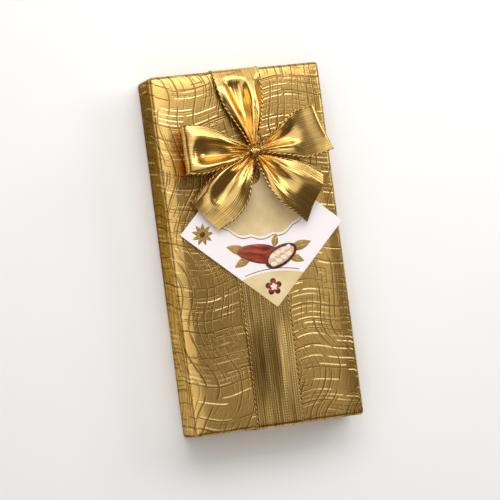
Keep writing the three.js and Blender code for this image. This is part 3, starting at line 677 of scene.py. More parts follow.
def cord_gold(name):
    cord = Finish(name, Metallic=1.0)
    flat, round_it, along = cord.plan()
    strand = cord.noise(cord.vector(cord.times(round_it, 3.0), along, 0.0), 2.0, 2.0)
    twist = cord.math("MULTIPLY_ADD", along, -2 * math.pi / BEAD, cord.times(round_it, 2.0))
    # Painted shade: the colour darkens in the grooves between the plies as they twist round.
    groove_shade = cord.step(cord.math("COSINE", twist), 0.35, -0.5)
    tone = cord.blend(strand, tinted(RIBBON_GOLD, 0.75), tinted(RIBBON_GOLD, 1.15))
    cord.set("Base Color", cord.blend(groove_shade, tone, PAINTED_GROOVE_SHADE))
    cord.set("Roughness", cord.step(strand, 0.3, 0.7, 0.32, 0.2))
    cord.relief(strand, 0.05, 0.5)
    return cord


selvage_cord = cord_gold("twisted gold selvage")
print("nodes in the cord:", len(selvage_cord.tree.nodes))

# %% [markdown]
# ## Ribbon shapes
# A bow could be draped by a cloth simulation, but the folds of this one are known from the photograph.
# So a strip is drawn row by row, as the maker lays it: each row has its middle, the way to its right
# edge, the share of the width it is spread over, and a row of lifts, the heights across the strip that fold
# it. Close to the knot, fine pleats are added to the lifts.


# %% A folded strip
COLUMNS = 61
LIFTS = 13  # heights across the strip that say how a row is folded
PLEAT = 0.55


def folded(at, side, spread, lifts, near):
    """Points of the ribbon's middle surface. near is 1 at the knot and 0 where the fine pleats end."""
    forward = along_line(at)
    side = side - forward * (side * forward).sum(1, keepdims=True)
    side /= np.linalg.norm(side, axis=1, keepdims=True)
    up = np.cross(side, forward)
    v = np.linspace(-1, 1, COLUMNS)
    lift = smooth_run(lifts.T, (v + 1) / 2).T
    fine = np.cos(5 * math.pi * v + 0.7)[None] + 0.5 * np.cos(9 * math.pi * v)[None]
    lift = lift + PLEAT * near[:, None] * fine
    reach = v[None] * np.clip(spread, 0.05, 1.0)[:, None] * RIBBON_WIDTH / 2
    return at[:, None] + side[:, None] * reach[..., None] + up[:, None] * lift[..., None]


def grid_normals(grid):
    normal = np.cross(np.gradient(grid, axis=1), np.gradient(grid, axis=0))
    return normal / np.linalg.norm(normal, axis=2, keepdims=True)


def along_line(line):
    """The way a line runs at each of its points, as unit vectors."""
    forward = np.gradient(line, axis=0)
    return forward / np.linalg.norm(forward, axis=1, keepdims=True)


def tube(line, across, over, width, height, plan, finish):
    """A tube round a line: its rings are width and height from it, along across and over."""
    rings = line[:, None] + width[..., None] * across[:, None] + height[..., None] * over[:, None]
    flat = np.stack(np.broadcast_arrays(*plan), 2).reshape(-1, 2)
    return rings.reshape(-1, 3), tube_faces(*rings.shape[:2]), finish, flat


print("a row of ribbon has", COLUMNS, "points on", LIFTS, "lifts")

# %% Selvage and strip
CORD_RADIUS, CORD_STEP, CORD_SIDES = 0.46, 0.32, 8


def selvage(edge, normal):
    """A two-ply cord along one edge of the ribbon, as rings, with its plan."""
    run = np.r_[0, np.cumsum(np.linalg.norm(np.diff(edge, axis=0), axis=1))]
    s = np.arange(0, run[-1], CORD_STEP)
    line = np.stack([np.interp(s, run, edge[:, k]) for k in range(3)], 1)
    top = np.stack([np.interp(s, run, normal[:, k]) for k in range(3)], 1)
    forward = along_line(line)
    out = np.cross(forward, top)
    out /= np.linalg.norm(out, axis=1, keepdims=True)
    top = np.cross(out, forward)
    theta = np.arange(CORD_SIDES) / CORD_SIDES * 2 * math.pi
    ply = np.cos(2 * theta[None, :] - 2 * math.pi * s[:, None] / BEAD)
    radius = CORD_RADIUS * (1 + 0.45 * ply)
    plan = (theta[None, :], s[:, None])
    return tube(line, out, top, radius * np.cos(theta), radius * np.sin(theta), plan, selvage_cord)


def ribbon(name, grid, node, finish=None):
    """The strip as a thin two-layer sheet that stands for its CAD node, with its two selvages."""
    rows = len(grid)
    normal = grid_normals(grid)
    middle = grid[:, COLUMNS // 2]
    run = np.r_[0, np.cumsum(np.linalg.norm(np.diff(middle, axis=0), axis=1))]
    across = np.linspace(0, RIBBON_WIDTH, COLUMNS)
    plan = np.stack(np.broadcast_arrays(across[None, :], run[:, None]), 2).reshape(-1, 2)
    layers = np.concatenate([(grid + sign * normal * RIBBON / 2).reshape(-1, 3) for sign in (1, -1)])
    parts = [(layers, sheet_faces(rows, COLUMNS), finish or ribbon_weave, np.r_[plan, plan])]
    cloth = piece(name, parts, "lid", [node], 60)
    cords = [selvage(grid[:, column], normal[:, column]) for column in (0, -1)]
    trim = piece(name + "_selvage", cords, "lid")
    print(name, "is cut", round(RIBBON_WIDTH), "x", round(float(run[-1])), "mm")


print("the cord is", round(2 * CORD_RADIUS, 2), "mm thick")

# %% [markdown]
# ## The bow
# Two loops and two tails leave the knot, each at its own heading. A loop goes out over the top, turns at
# its tip and comes back underneath, and its upper layer sinks into a trough between two ridges. A tail
# rises, folds over a crest and comes down to the label. Each is drawn by a table of stations, read off the
# photograph, and a smooth run goes through them.

# %% Stations of the loops
KNOT = np.array([3.4, 61.5])
LABEL_TOP = 32.8
ARM_START = 3.75
GATHERED = 2 * math.pi * ARM_START / 6 / RIBBON_WIDTH
HIGH, LOW, TAIL = 10.8, 6.4, 7.6  # where a loop leaves and meets the knot, and a tail leaves it
FLAT = (0.0,) * LIFTS
# Each station is the reach from the knot, the height over the label, the spread, the turn, and the lifts
# from one edge to the other.
LEFT_LOOP = [
    (ARM_START, HIGH, GATHERED, 0, *FLAT),
    (13, 13.6, 0.42, 0, 0, 1.3, 1.2, 0.2, -1.2, -1.5, -1.2, -0.5, 0.5, 1.4, 1.1, 0.6, 0),
    (24, 15.8, 0.74, 0, 0, 2.6, 2.4, 0.2, -2.2, -2.7, -2.2, -1.1, 0.6, 2.0, 1.7, 0.9, 0),
    (35.3, 16.2, 0.97, 0, 0, 3.0, 2.8, 0.2, -2.4, -3.0, -2.5, -1.2, 0.6, 2.1, 1.8, 1.0, 0),
    (43.2, 16.2, 1, 0, 0, 1.8, 2.2, 1.7, 1.2, 1.0, 1.0, 1.2, 1.6, 2.0, 1.7, 0.9, 0),
    (47.2, 15.0, 1, 0, 0, 0.3, 0.4, 0.4, 0.4, 0.4, 0.4, 0.4, 0.4, 0.4, 0.3, 0.2, 0),
    (48.3, 11.4, 1, 0, *FLAT),
    (47, 7.6, 1, 0, *FLAT),
    (42, 5.4, 1, 0, *FLAT),
    (30, 4.6, 0.92, 0, *FLAT),
    (17, 5, 0.54, 0, *FLAT),
    (ARM_START, LOW, GATHERED, 0, *FLAT),
]
RIGHT_LOOP = [
    (ARM_START, HIGH, GATHERED, 0, *FLAT),
    (14, 14.2, 0.45, 0, 2.0, 2.4, 1.2, 0, -0.9, -1.3, -1.0, 0.2, 1.4, 0.9, 0.2, 0, -0.3),
    (22, 16.2, 0.72, 0, 4.2, 3.6, 1.8, 0, -1.2, -1.7, -1.6, -0.8, 0.9, 1.2, 0.7, 0.2, -0.6),
    (29.5, 16.8, 0.97, 0, 1.4, 1.1, 0.7, 0.4, 0.1, -0.1, -0.1, -0.1, 0, -0.1, -0.3, -0.5, -0.8),
    (36.5, 17.0, 1, 0, 0.5, 0.4, 0.4, 0.3, 0.2, 0.1, 0, -0.1, -0.2, -0.3, -0.5, -0.6, -0.7),
    (44.4, 17.55, 1, 0, 0.5, 0.4, 0.4, 0.3, 0.2, 0.1, 0, -0.1, -0.2, -0.3, -0.4, -0.5, -0.6),
    (46.6, 16.1, 1, 0, *FLAT),
    (47.7, 12.2, 1, 0, *FLAT),
    (46.6, 8.6, 1, 0, *FLAT),
    (42, 6.6, 1, 0, *FLAT),
    (34, 5.6, 0.95, 0, *FLAT),
    (18, 5, 0.56, 0, *FLAT),
    (ARM_START, LOW, GATHERED, 0, *FLAT),
]
print("stations of the loops:", len(LEFT_LOOP), "and", len(RIGHT_LOOP))

# %% Stations of the tails
LEFT_TAIL = [
    (ARM_START, TAIL, GATHERED, 0, *FLAT),
    (14, 11.2, 0.45, 0, -0.4, 0.2, 0.8, 0.2, 0.9, 1.3, 0.6, -0.8, -1.4, -1.0, 0.6, 1.9, 0.4),
    (24, 12.4, 0.78, 0, -0.6, 0, 0.5, 1.0, 1.2, 0.4, -1.0, -1.6, -0.9, 0.4, 1.5, 2.0, 0.2),
    (33.5, 11.0, 0.93, 1, -0.2, 0.2, 0.5, 0.8, 0.9, 0.2, -1.2, -1.8, -1.0, 0.4, 1.6, 2.2, 0.2),
    (40.5, 8.8, 0.93, 1, 0, 0.2, 0.4, 0.6, 0.8, 0.7, 0.1, -0.4, -0.2, 0.6, 1.2, 1.0, -1.2),
    (46.5, 7.4, 0.86, 0, 0, 0.1, 0.2, 0.3, 0.5, 0.7, 1.0, 1.2, 1.3, 1.1, 0.5, -0.8, -3.2),
    (54, 4.0, 0.79, -1, 0, 0, 0, 0, 0.1, 0.2, 0.2, 0.2, 0.1, -0.2, -0.8, -1.8, -3.2),
]
RIGHT_TAIL = [
    (ARM_START, TAIL, GATHERED, -10, *FLAT),
    (13, 10.6, 0.45, -8, 0, 0.3, 0.9, 1.9, 1.6, 0, -1.1, -1.3, -0.6, 0.7, 1.2, 0.6, -0.4),
    (24, 12.2, 0.8, -6, 0.6, 0.9, 1.3, 1.8, 2.5, 1.2, -1.2, -2.2, -1.6, -0.4, 0.6, 0.6, 0),
    (35, 12.0, 1, -3, 0.6, 1.1, 1.6, 2.2, 2.6, 2.2, 1.4, 0.6, 0, -0.2, 0, 0.1, 0),
    (44, 10.2, 1, -1, 2.2, 2.8, 3.4, 3.9, 3.4, 2.4, 1.4, 0.6, 0, -0.2, -0.2, 0, 0),
    (54.5, 5.4, 1, 0, 6.6, 7.2, 7.6, 7.4, 5.6, 3.6, 2.0, 0.9, 0.2, 0, 0, 0, 0),
]
print("stations of the tails:", len(LEFT_TAIL), "and", len(RIGHT_TAIL))

# %% Loops and tails
LOOP_ROWS, TAIL_ROWS = 110, 66


def bow_arm(heading, skew, stations, rows, slant=0.0):
    """An arm of the bow: its heading, the skew of its rows at the tip, and the slant of its cut end."""
    reach, height, spread, turn, *lifts = smooth_run(stations, np.linspace(0, 1, rows)).T
    angle = np.radians(heading + turn)
    turned = np.radians(heading + turn + skew * reach / reach.max())
    x, y = KNOT[0] + reach * np.cos(angle), KNOT[1] + reach * np.sin(angle)
    at = np.stack([x, y, LABEL_TOP + height], 1)
    side = np.stack([np.sin(turned), -np.cos(turned), 0 * turned], 1)
    near = np.clip(1.6 - reach / 16, 0, 1)
    grid = folded(at, side, spread, np.array(lifts).T, near)
    cut = np.arange(rows)[:, None] * (1 + slant * np.linspace(-1, 1, COLUMNS)) / (1 + slant)
    low = np.minimum(cut.astype(int), rows - 2)
    t, column = (cut - low)[..., None], np.arange(COLUMNS)
    return grid[low, column] * (1 - t) + grid[low + 1, column] * t


left_loop, right_loop = bow_arm(174, 6.5, LEFT_LOOP, LOOP_ROWS), bow_arm(13, 7, RIGHT_LOOP, LOOP_ROWS)
left_tail, right_tail = bow_arm(227, 0, LEFT_TAIL, TAIL_ROWS), bow_arm(317.5, 0, RIGHT_TAIL, TAIL_ROWS, 0.1)
ribbon("bow_left_loop", left_loop, "bow_loop_left")
ribbon("bow_right_loop", right_loop, "bow_loop_right")
ribbon("bow_left_tail", left_tail, "bow_tail_left")
ribbon("bow_right_tail", right_tail, "bow_tail_right")

# %% [markdown]
# ## The ribbon round the lid
# The ribbon is tucked up inside the lid at both ends, comes out under the rim, up the end wall and over
# the edge. From the far end it leaves the edge before it has come round, draws together and climbs to the
# knot. From the near end it lies pressed on the lid, slips through the label's hole and climbs to the knot
# from below. It could be swept along one path, but the gathers need rows of lifts, as in the bow.

# %% Round the end of the lid
RIBBON_OFF = 0.5  # middle of the ribbon off the paper
RIBBON_LEVEL = LID_TOP + RIBBON_OFF
EDGE, BEND = LID_LENGTH / 2 - EDGE_RADIUS, EDGE_RADIUS + RIBBON_OFF
TUCK = 9


def over_end(towards, last):
    """Rows from inside the lid up and round the top's edge, to the angle where the ribbon leaves it."""
    inside = LID_LENGTH / 2 - LID_WALL - RIBBON_OFF
    outside = LID_LENGTH / 2 + RIBBON_OFF
    low, high = LID_RIM - RIBBON_OFF, LID_TOP - EDGE_RADIUS
    path = [(inside, z) for z in np.linspace(LID_RIM + TUCK, low + 0.3, 8)]
    path += [(inside + 0.12, low + 0.06), (inside + 0.4, low)]
    path += [(y, low) for y in np.linspace(inside + 0.9, outside - 0.5, 5)]
    path += [(outside - 0.12, low + 0.06), (outside, low + 0.4)]
    path += [(outside, z) for z in np.linspace(low + 1.5, high, 14)]
    for angle in np.linspace(0, last, 9)[1:]:
        path.append((EDGE + BEND * math.cos(angle), high + BEND * math.sin(angle)))
    return np.array([(0.0, towards * y, z) for y, z in path])


def run(towards, leaves, climb_at, climb, name, node, finish=None):
    """climb holds the spread, the nearness of the knot and the lifts for each point of climb_at."""
    end = over_end(towards, math.radians(leaves))
    at = np.concatenate([end, climb_at])
    spread, near, *lifts = np.concatenate([np.tile([1.0, 0.0, *FLAT], (len(end), 1)), climb]).T
    side = np.tile([-towards, 0.0, 0.0], (len(at), 1))
    grid = folded(at, side, spread, np.array(lifts).T, near)
    ribbon(name, grid, node, finish)


print("rows round the end of the lid:", len(over_end(1, math.pi / 2)))

# %% The far run
# Share of the way from the lid's edge to the knot, share of the climb, spread, and lifts from the right edge.
UPPER = [
    (0.0, 0.0, 1, *FLAT),
    (0.05, 0.1, 1, -0.2, 0.1, 0.2, 0.3, 0.3, 0.4, 0.4, 0.4, 0.4, 0.3, 0.3, 0.2, 0.1),
    (0.11, 0.2, 1, -1.0, 0.1, 0.6, 0.8, 0.8, 0.6, 0.2, -0.1, -0.2, 0, 0.6, 0.6, 0.3),
    (0.2, 0.34, 0.99, -2.6, -0.8, 1.0, 1.6, 1.4, -1.2, -2.6, -2.7, -2.6, -1.4, 1.4, 1.1, 0.5),
    (0.4, 0.64, 0.87, -4.4, -1.2, 1.2, 2.1, 1.7, -2.0, -4.2, -4.4, -4.0, -1.8, 1.5, 1.2, -2.0),
    (0.6, 0.86, 0.64, -3.0, -0.2, 1.6, 0.2, 1.6, 0.2, -2.4, -3.2, -2.8, -0.8, 1.0, 0.6, -2.4),
    (0.82, 0.97, 0.34, -1.4, 0, 1.0, 0, 0.9, 0.3, -1.2, -1.6, -1.2, 0.2, 0.7, 0.2, -1.2),
    (1, 1, GATHERED, *FLAT),
]
LIFTS_OFF = 70  # degrees round the edge
MEETS_KNOT_HIGH = LABEL_TOP + 7.5
RUN_ROWS = 70
way, up, spread, *lifts = smooth_run(UPPER, np.linspace(0.012, 1, RUN_ROWS)).T
start_y = EDGE + BEND * math.cos(math.radians(LIFTS_OFF))
start_z = RIBBON_LEVEL - BEND * (1 - math.sin(math.radians(LIFTS_OFF)))
upper_y = start_y + (KNOT[1] + ARM_START - start_y) * way
upper_at = np.stack([KNOT[0] * up, upper_y, start_z + (MEETS_KNOT_HIGH - start_z) * up], 1)
gathers = np.stack([spread, np.clip(way * 2.2 - 1.2, 0, 1), *lifts], 1)
run(1, LIFTS_OFF, upper_at, gathers, "ribbon_far_run", "ribbon_upper_run")

# %% The near run
HOLE = np.array([0.7, 47.5])
HOLE_RADIUS = 7.0
IN_HOLE = 0.55 * 2 * HOLE_RADIUS / RIBBON_WIDTH
# Hole radii from the hole's middle, share of the climb, spread and how deep the pleats are.
LOWER = [
    (-4.6, 0, 1, 0),
    (-3.3, 0, 1, 0),
    (-2.1, 0, 0.8, 0.05),
    (-1.15, 0, 1.36 * IN_HOLE, 0.1),
    (-0.5, 0.06, IN_HOLE, 0.3),
    (0.26, 0.42, IN_HOLE, 1.0),
    (0.77, 0.8, 0.8 * IN_HOLE, 1.2),
    ((KNOT[1] - ARM_START - HOLE[1]) / HOLE_RADIUS, 1, GATHERED, 1),
]
HOLE_ROWS = 56
MEETS_KNOT_LOW = LABEL_TOP + 3.9
way, up, spread, near = smooth_run(LOWER, np.linspace(0, 1, HOLE_ROWS)).T
up, near = np.clip(up, 0, 1), np.clip(near, 0, 2)
lower_x, lower_y = HOLE[0] + (KNOT[0] - HOLE[0]) * up, HOLE[1] + way * HOLE_RADIUS
lower_at = np.stack([lower_x, lower_y, RIBBON_LEVEL + (MEETS_KNOT_LOW - RIBBON_LEVEL) * up], 1)
flat_y = np.linspace(1 - EDGE, lower_y[0] - 1.5, RUN_ROWS)
flat_x = HOLE[0] * np.linspace(0, 1, RUN_ROWS)
flat_at = np.stack([flat_x, flat_y, np.full(RUN_ROWS, RIBBON_LEVEL)], 1)
# Pressed on the lid, the ribbon still swells a little off its middle line.
v = np.linspace(-1, 1, LIFTS)
sag = np.abs(v - 0.3) ** 1.4 + 0.07 * np.cos(9 * v + 0.5)
ease = np.clip((flat_y + EDGE - 4) / 36, 0, 1) * np.clip((-44 - flat_y) / 17, 0, 1)
swell = 1.15 * ease * ease * (3 - 2 * ease) * (1 + 0.1 * np.sin(flat_y / 4.2))
swell = np.r_[swell, np.zeros(HOLE_ROWS)]
spread, near = np.r_[np.ones(RUN_ROWS), spread], np.r_[np.zeros(RUN_ROWS), near]
laid = np.c_[spread, near, swell[:, None] * (sag - sag.min())]
near_at = np.concatenate([flat_at, lower_at])
run(-1, 90, near_at, laid, "ribbon_near_run", "ribbon_lower_run", painted_streak_weave)

# %% [markdown]
# ## The knot
# A thread pulls all six strips together, and the last end of the ribbon goes over it in a few tight folds.
# A ball would do from afar, but close up the folds show. So a stub is lofted from rings pinched by folds
# of two sizes, and small rolls of ribbon with a cord between them arch over its head.

# %% Stub of the knot
KNOT_RADIUS, KNOT_FOOT, KNOT_HEAD = 3.1, 0.6, 11.2
KNOT_SIDES, KNOT_RINGS = 72, 30
# Share of the radius and share of the height, from the foot to the head.
KNOT_PROFILE = [(0.72, 0), (0.95, 0.1), (1, 0.4), (0.97, 0.7)]
KNOT_PROFILE += [(0.86, 0.86), (0.62, 0.96), (0.3, 1.0), (0.08, 0.975)]
share, up = smooth_run(KNOT_PROFILE, np.linspace(0, 1, KNOT_RINGS)).T
theta = np.arange(KNOT_SIDES) / KNOT_SIDES * 2 * math.pi
wound = theta[None, :] + up[:, None] * 0.9
folds = 1 + 0.075 * np.cos(11 * wound) + 0.05 * np.cos(7 * wound + 1.1)
folds = folds + 0.03 * np.cos(23 * theta[None, :])
radius = KNOT_RADIUS * share[:, None] * folds * 0.97
height = LABEL_TOP + KNOT_FOOT + up * (KNOT_HEAD - KNOT_FOOT)
stub_x, stub_y = KNOT[0] + radius * np.cos(theta), KNOT[1] + radius * np.sin(theta)
rings = np.stack([stub_x, stub_y, np.tile(height[:, None], (1, KNOT_SIDES))], 2)
plan = np.stack(np.broadcast_arrays(theta[None, :] * KNOT_RADIUS, height[:, None]), 2)
stub_faces = tube_faces(KNOT_RINGS, KNOT_SIDES)
parts = [(rings.reshape(-1, 3), stub_faces, ribbon_weave, plan.reshape(-1, 2))]
print("stub is", round(KNOT_HEAD - KNOT_FOOT, 1), "mm high")

# %% Rolls over the knot
# Each roll: how far right of the knot, height of its crest, half its thickness, and its turn in degrees.
ROLLS = [(-2.9, 11.3, 0.8, 8), (-1.5, 12.0, 0.85, -5), (0, 12.3, 0.9, 4)]
ROLLS += [(1.4, 12.1, 0.8, -7), (2.8, 11.4, 0.8, 9)]
ROLL_RINGS, ROLL_SIDES = 33, 12
ROLL_HALF, ROLL_DROP = 4.4, 5.2
CORD_OUT = 0.75  # where the cord lies on a roll
t = np.linspace(-1, 1, ROLL_RINGS)
theta = np.arange(ROLL_SIDES) / ROLL_SIDES * 2 * math.pi
for offset, crest, thick, turn in ROLLS:
    a = math.radians(turn)
    own_x = offset * (0.75 + 0.5 * t * t) + 0.25 * np.sin(4 * t + offset)
    own_y = ROLL_HALF * t
    roll_x = KNOT[0] + own_x * math.cos(a) - own_y * math.sin(a)
    roll_y = KNOT[1] + own_x * math.sin(a) + own_y * math.cos(a)
    middle = np.stack([roll_x, roll_y, LABEL_TOP + crest - thick - ROLL_DROP * np.abs(t) ** 2.2], 1)
    forward = along_line(middle)
    out = np.cross(forward, [0, 0, 1])
    out /= np.linalg.norm(out, axis=1, keepdims=True)
    rise = np.cross(out, forward)
    fat = thick * (1 + 0.16 * np.cos(3 * theta[None, :] + 5 * t[:, None] + offset))
    fat = fat * (1.05 - 0.3 * t[:, None] ** 2)
    plan = (theta[None, :] * thick, own_y[:, None])
    parts.append(tube(middle, out, rise, fat * np.cos(theta), fat * np.sin(theta), plan, ribbon_weave))
    parts.append(selvage(middle + rise * thick * CORD_OUT + out * thick * CORD_OUT, rise))
piece("bow_knot_gathers", parts, "lid", ["bow_knot"])
print("rolls over the knot:", len(ROLLS))

# %% [markdown]
# ## Label
# A white card hangs on the ribbon by a hole near its top corner. It is printed in pale gold at the top and
# in the lower corner, and a cocoa pod with leaves is printed and lightly embossed between them.
# One card with a picture on it would do, but then the print would blur close up. So each colour is a plate
# of its own, a few hundredths of a millimetre thick, and the embossed ones are crowned.

# %% Plates and domes
LABEL_TURN = 1.3  # degrees
PRINT = 0.05


def turned(degrees):
    """A matrix that turns flat points, given as rows, counter-clockwise."""
    a = math.radians(degrees)
    return np.array([[math.cos(a), math.sin(a)], [-math.sin(a), math.cos(a)]])


def on_label(points):
    """From the label's own drawing, with its hole at the origin, to its place on the lid."""
    points = np.asarray(points, float)
    return np.c_[points[:, :2] @ turned(LABEL_TURN) + HOLE, points[:, 2:]]


def plate(edge, low, high, finish, hole=None):
    """A flat plate with its edge given counter-clockwise, and a hole clockwise."""
    loops = [np.asarray(loop, float) for loop in ((edge,) if hole is None else (edge, hole))]
    flat = np.concatenate(loops)
    count = len(flat)
    faces = []
    for a, b, c in tessellate_polygon([[Vector((*point, 0)) for point in loop] for loop in loops]):
        (ax, ay), (bx, by), (cx, cy) = flat[a], flat[b], flat[c]
        if (bx - ax) * (cy - ay) < (by - ay) * (cx - ax):
            b, c = c, b
        faces += [(a, b, c), (count + a, count + c, count + b)]
    start = 0
    for loop in loops:
        for step in range(len(loop)):
            a, b = start + step, start + (step + 1) % len(loop)
            faces.append((count + a, count + b, b, a))
        start += len(loop)
    points = np.r_[np.c_[flat, np.full(count, high)], np.c_[flat, np.full(count, low)]]
    return on_label(points), faces, finish, np.r_[flat, flat]


def crown(edge, middle, turn, rise, finish, relief=None, low=LABEL_TOP, rings=9):
    """An embossed print: a low dome over an edge that is drawn round its own middle."""
    edge = np.asarray(edge, float)
    shares = np.r_[1.0, np.cos(np.linspace(0, math.pi / 2 - 0.04, rings))]
    heights = np.r_[0.0, PRINT + rise * np.sin(np.linspace(0, math.pi / 2, rings))]
    own = edge[None] * shares[:, None, None]
    up = np.tile(heights[:, None], (1, len(edge)))
    if relief is not None:
        up[2:] += relief(own[2:, :, 0], own[2:, :, 1]) * (1 - shares[2:, None] ** 6)
    flat = own @ turned(turn) + np.asarray(middle, float)
    points = np.concatenate([flat, low + up[..., None]], 2).reshape(-1, 3)
    return on_label(points), tube_faces(len(shares), len(edge)), finish, own.reshape(-1, 2)


print("the label is turned", LABEL_TURN, "degrees")

# %% Card
CARD_FOOT = 32.3
LABEL_CORNERS = [(0.0, 17.0), (-52.8, -33.1), (5.1, -88.0), (57.9, -37.9)]
CORNER_STEPS = 5


def card_edge(rounding=1.2):
    """The card's edge with its four corners eased."""
    points = []
    for index, corner in enumerate(np.array(LABEL_CORNERS)):
        before, after = (np.array(LABEL_CORNERS[(index + k) % 4]) for k in (-1, 1))
        a, b = (corner + (to - corner) / np.linalg.norm(to - corner) * rounding for to in (before, after))
        for t in np.linspace(0, 1, CORNER_STEPS):
            points.append((1 - t) ** 2 * a + 2 * t * (1 - t) * corner + t * t * b)
    return np.array(points)


white_card = Finish("white label card", Specular_IOR_Level=0.4)
flat, x, y = white_card.plan()
pressed = white_card.vector(white_card.times(x, 0.8), white_card.times(y, 0.8), 0.0)
fibre = white_card.noise(pressed, 2.2, 3.0, 0.6)
faint = white_card.times(white_card.noise(flat, 0.05, 2.0), 0.4)
tone = white_card.blend(fibre, colour(250, 241, 243), colour(255, 250, 251))
white_card.set("Base Color", white_card.blend(faint, tone, colour(250, 240, 240)))
white_card.set("Roughness", white_card.step(fibre, 0.2, 0.8, 0.42, 0.54))
white_card.relief(fibre, 0.02, 0.4)
turns = np.linspace(0, 2 * math.pi, 64, endpoint=False)
HOLE_EDGE = np.stack([np.cos(-turns), np.sin(-turns)], 1) * HOLE_RADIUS
card_parts = [plate(card_edge(), CARD_FOOT, LABEL_TOP, white_card, HOLE_EDGE)]
piece("label_white_card", card_parts, "label", ["label_card"], 40)
print("the card's corners:", LABEL_CORNERS)

# %% [markdown]
# ## Printing inks
# The card is printed through a screen: matt pale gold for the fields, a deeper gold with metal in it for the
# lines and the rosette, reds and browns for the pods. One flat colour would look like plastic. So each ink
# wanders between two tones, drawn out along a leaf or a pod, and the screen's dots show in its gloss.


# %% Inks
def ink(name, first, second, grain, rough, metal=0.0, streak=(1.0, 1.0)):
    """A printed colour that wanders between two, with the grain of the screen it was printed through."""
    made = Finish(name, Metallic=metal)
    flat, x, y = made.plan()
    drawn_out = made.vector(made.times(x, streak[0]), made.times(y, streak[1]), 0.0)
    drift = made.noise(drawn_out, grain, 3.0, 0.6)
    made.set("Base Color", made.blend(made.step(drift, 0.3, 0.7), colour(*first), colour(*second)))
    dots = made.noise(flat, 4.0, 1.0)
    made.set("Roughness", made.math("MULTIPLY_ADD", dots, 0.14, rough - 0.07))
    made.relief(made.add(dots, drift), 0.012, 0.5)
    return made


pale_gold_ink = ink("pale gold ink", (224, 197, 142), (239, 217, 168), 0.05, 0.42, 0.0)
deep_gold_ink = ink("deep gold ink", (150, 116, 52), (184, 148, 80), 0.4, 0.36, 0.5)
leaf_ink = ink("leaf ink", (150, 112, 44), (206, 172, 102), 0.55, 0.38, 0.4, (0.25, 1.6))
pod_ink = ink("pod ink", (92, 22, 16), (184, 74, 36), 0.22, 0.3, 0.0, (0.35, 1.7))
husk_ink = ink("husk ink", (58, 20, 18), (96, 40, 30), 0.5, 0.34, 0.0, (0.3, 1.5))
pulp_ink = ink("pulp ink", (214, 158, 122), (240, 206, 176), 0.5, 0.45)
bean_ink = ink("bean ink", (236, 214, 186), (252, 242, 226), 0.7, 0.4)
print("inks:", [m.name for m in bpy.data.materials if m.name.endswith("ink")])

# %% [markdown]
# ## Gold fields and cocoa print
# The upper field hangs down like a scalloped cloth and an arch cuts off the lower corner, each with a thin
# line beside it. Between them lie a pod, a cut pod with its beans and a few leaves, and a rosette and a
# blossom fill the corners. Filled curves would do for flat print, but this print is embossed, so the fields
# are plates and the motifs are low domes over plain outlines, with ridges and veins in the mesh.


# %% Printed fields
def between(first, second, share):
    return np.array(first) + (np.array(second) - np.array(first)) * share


FIELD_REACH = 0.66  # share of the card's upper edges that the gold field takes
FIELD_DROP, SCALLOP = 21.5, 1.9
TOP, LEFT, BOTTOM, RIGHT = LABEL_CORNERS
left_end, right_end = between(TOP, LEFT, FIELD_REACH), between(TOP, RIGHT, FIELD_REACH)
s = np.linspace(-1, 1, 97)


def swag():
    """A hanging edge of five scallops from the card's left side to its right side."""
    line = left_end[None] + (right_end - left_end)[None] * ((s + 1) / 2)[:, None]
    scallops = np.abs(np.sin(2.5 * math.pi * (s + 1)))
    line[:, 1] -= FIELD_DROP * (1 - np.abs(s) ** 2.6) + SCALLOP * scallops
    return line


def counter_clockwise(edge):
    edge = np.asarray(edge, float)
    x, y = edge.T
    area = (x * np.roll(y, -1) - y * np.roll(x, -1)).sum()
    return edge if area > 0 else edge[::-1]


def band(line, low_drop, high_drop):
    """A thin printed line beside another, kept off the card's edges."""
    middle = line[6:-6]
    return np.r_[middle - (0, low_drop), (middle - (0, high_drop))[::-1]]


def printed(edge, finish, hole=None):
    return plate(counter_clockwise(edge), LABEL_TOP, LABEL_TOP + PRINT, finish, hole)


corner_top, corner_bottom = card_edge()[:CORNER_STEPS], card_edge()[2 * CORNER_STEPS : 3 * CORNER_STEPS]
field = printed(np.r_[swag(), corner_top[::-1]], pale_gold_ink, HOLE_EDGE)
line = printed(band(swag(), 1.5, 2.2), deep_gold_ink)
low_left, low_right = between(LEFT, BOTTOM, 0.63), between(RIGHT, BOTTOM, 0.60)
arch = low_left[None] + (low_right - low_left)[None] * ((s + 1) / 2)[:, None]
arch[:, 1] += 3.4 * (1 - s * s)
foot_field = printed(np.r_[arch, corner_bottom[::-1]], pale_gold_ink)
foot_line = printed(band(arch, -1.3, -1.9), deep_gold_ink)
piece("label_gold_print", [field, line, foot_field, foot_line], "label", (), 40)
print("gold field reaches", round(float(swag()[:, 1].min()), 1), "mm below the hole")


# %% Outlines and reliefs of the print
def oval(half_length, half_width, point=0.0, sides=56):
    """An oval, more pointed at its right end."""
    a = np.linspace(0, 2 * math.pi, sides, endpoint=False)
    slim = 1 - point * (1 + np.cos(a)) / 2
    return np.stack([half_length * np.cos(a), half_width * np.sin(a) * slim], 1)


def leaf(length, width):
    t = np.linspace(0, 1, 22)
    half = width / 2 * np.sin(math.pi * t**0.85) ** 0.9
    return np.r_[np.c_[length * (t - 0.5), -half], np.c_[length * (t - 0.5), half][-2:0:-1]]


def ridged(x, y):
    return 0.10 * np.cos(y / 6.6 * 2.5 * math.pi) * (1 - (x / 17) ** 2)


def veined(x, y):
    return 0.07 * np.cos((x - 1.4 * np.abs(y)) * 2.1) - 0.09 * np.exp(-((y / 0.35) ** 2))


def grooved(x, y):
    return -0.10 * np.exp(-((y / 0.3) ** 2))


print("points of an oval and a leaf:", len(oval(2, 1)), len(leaf(2, 1)))

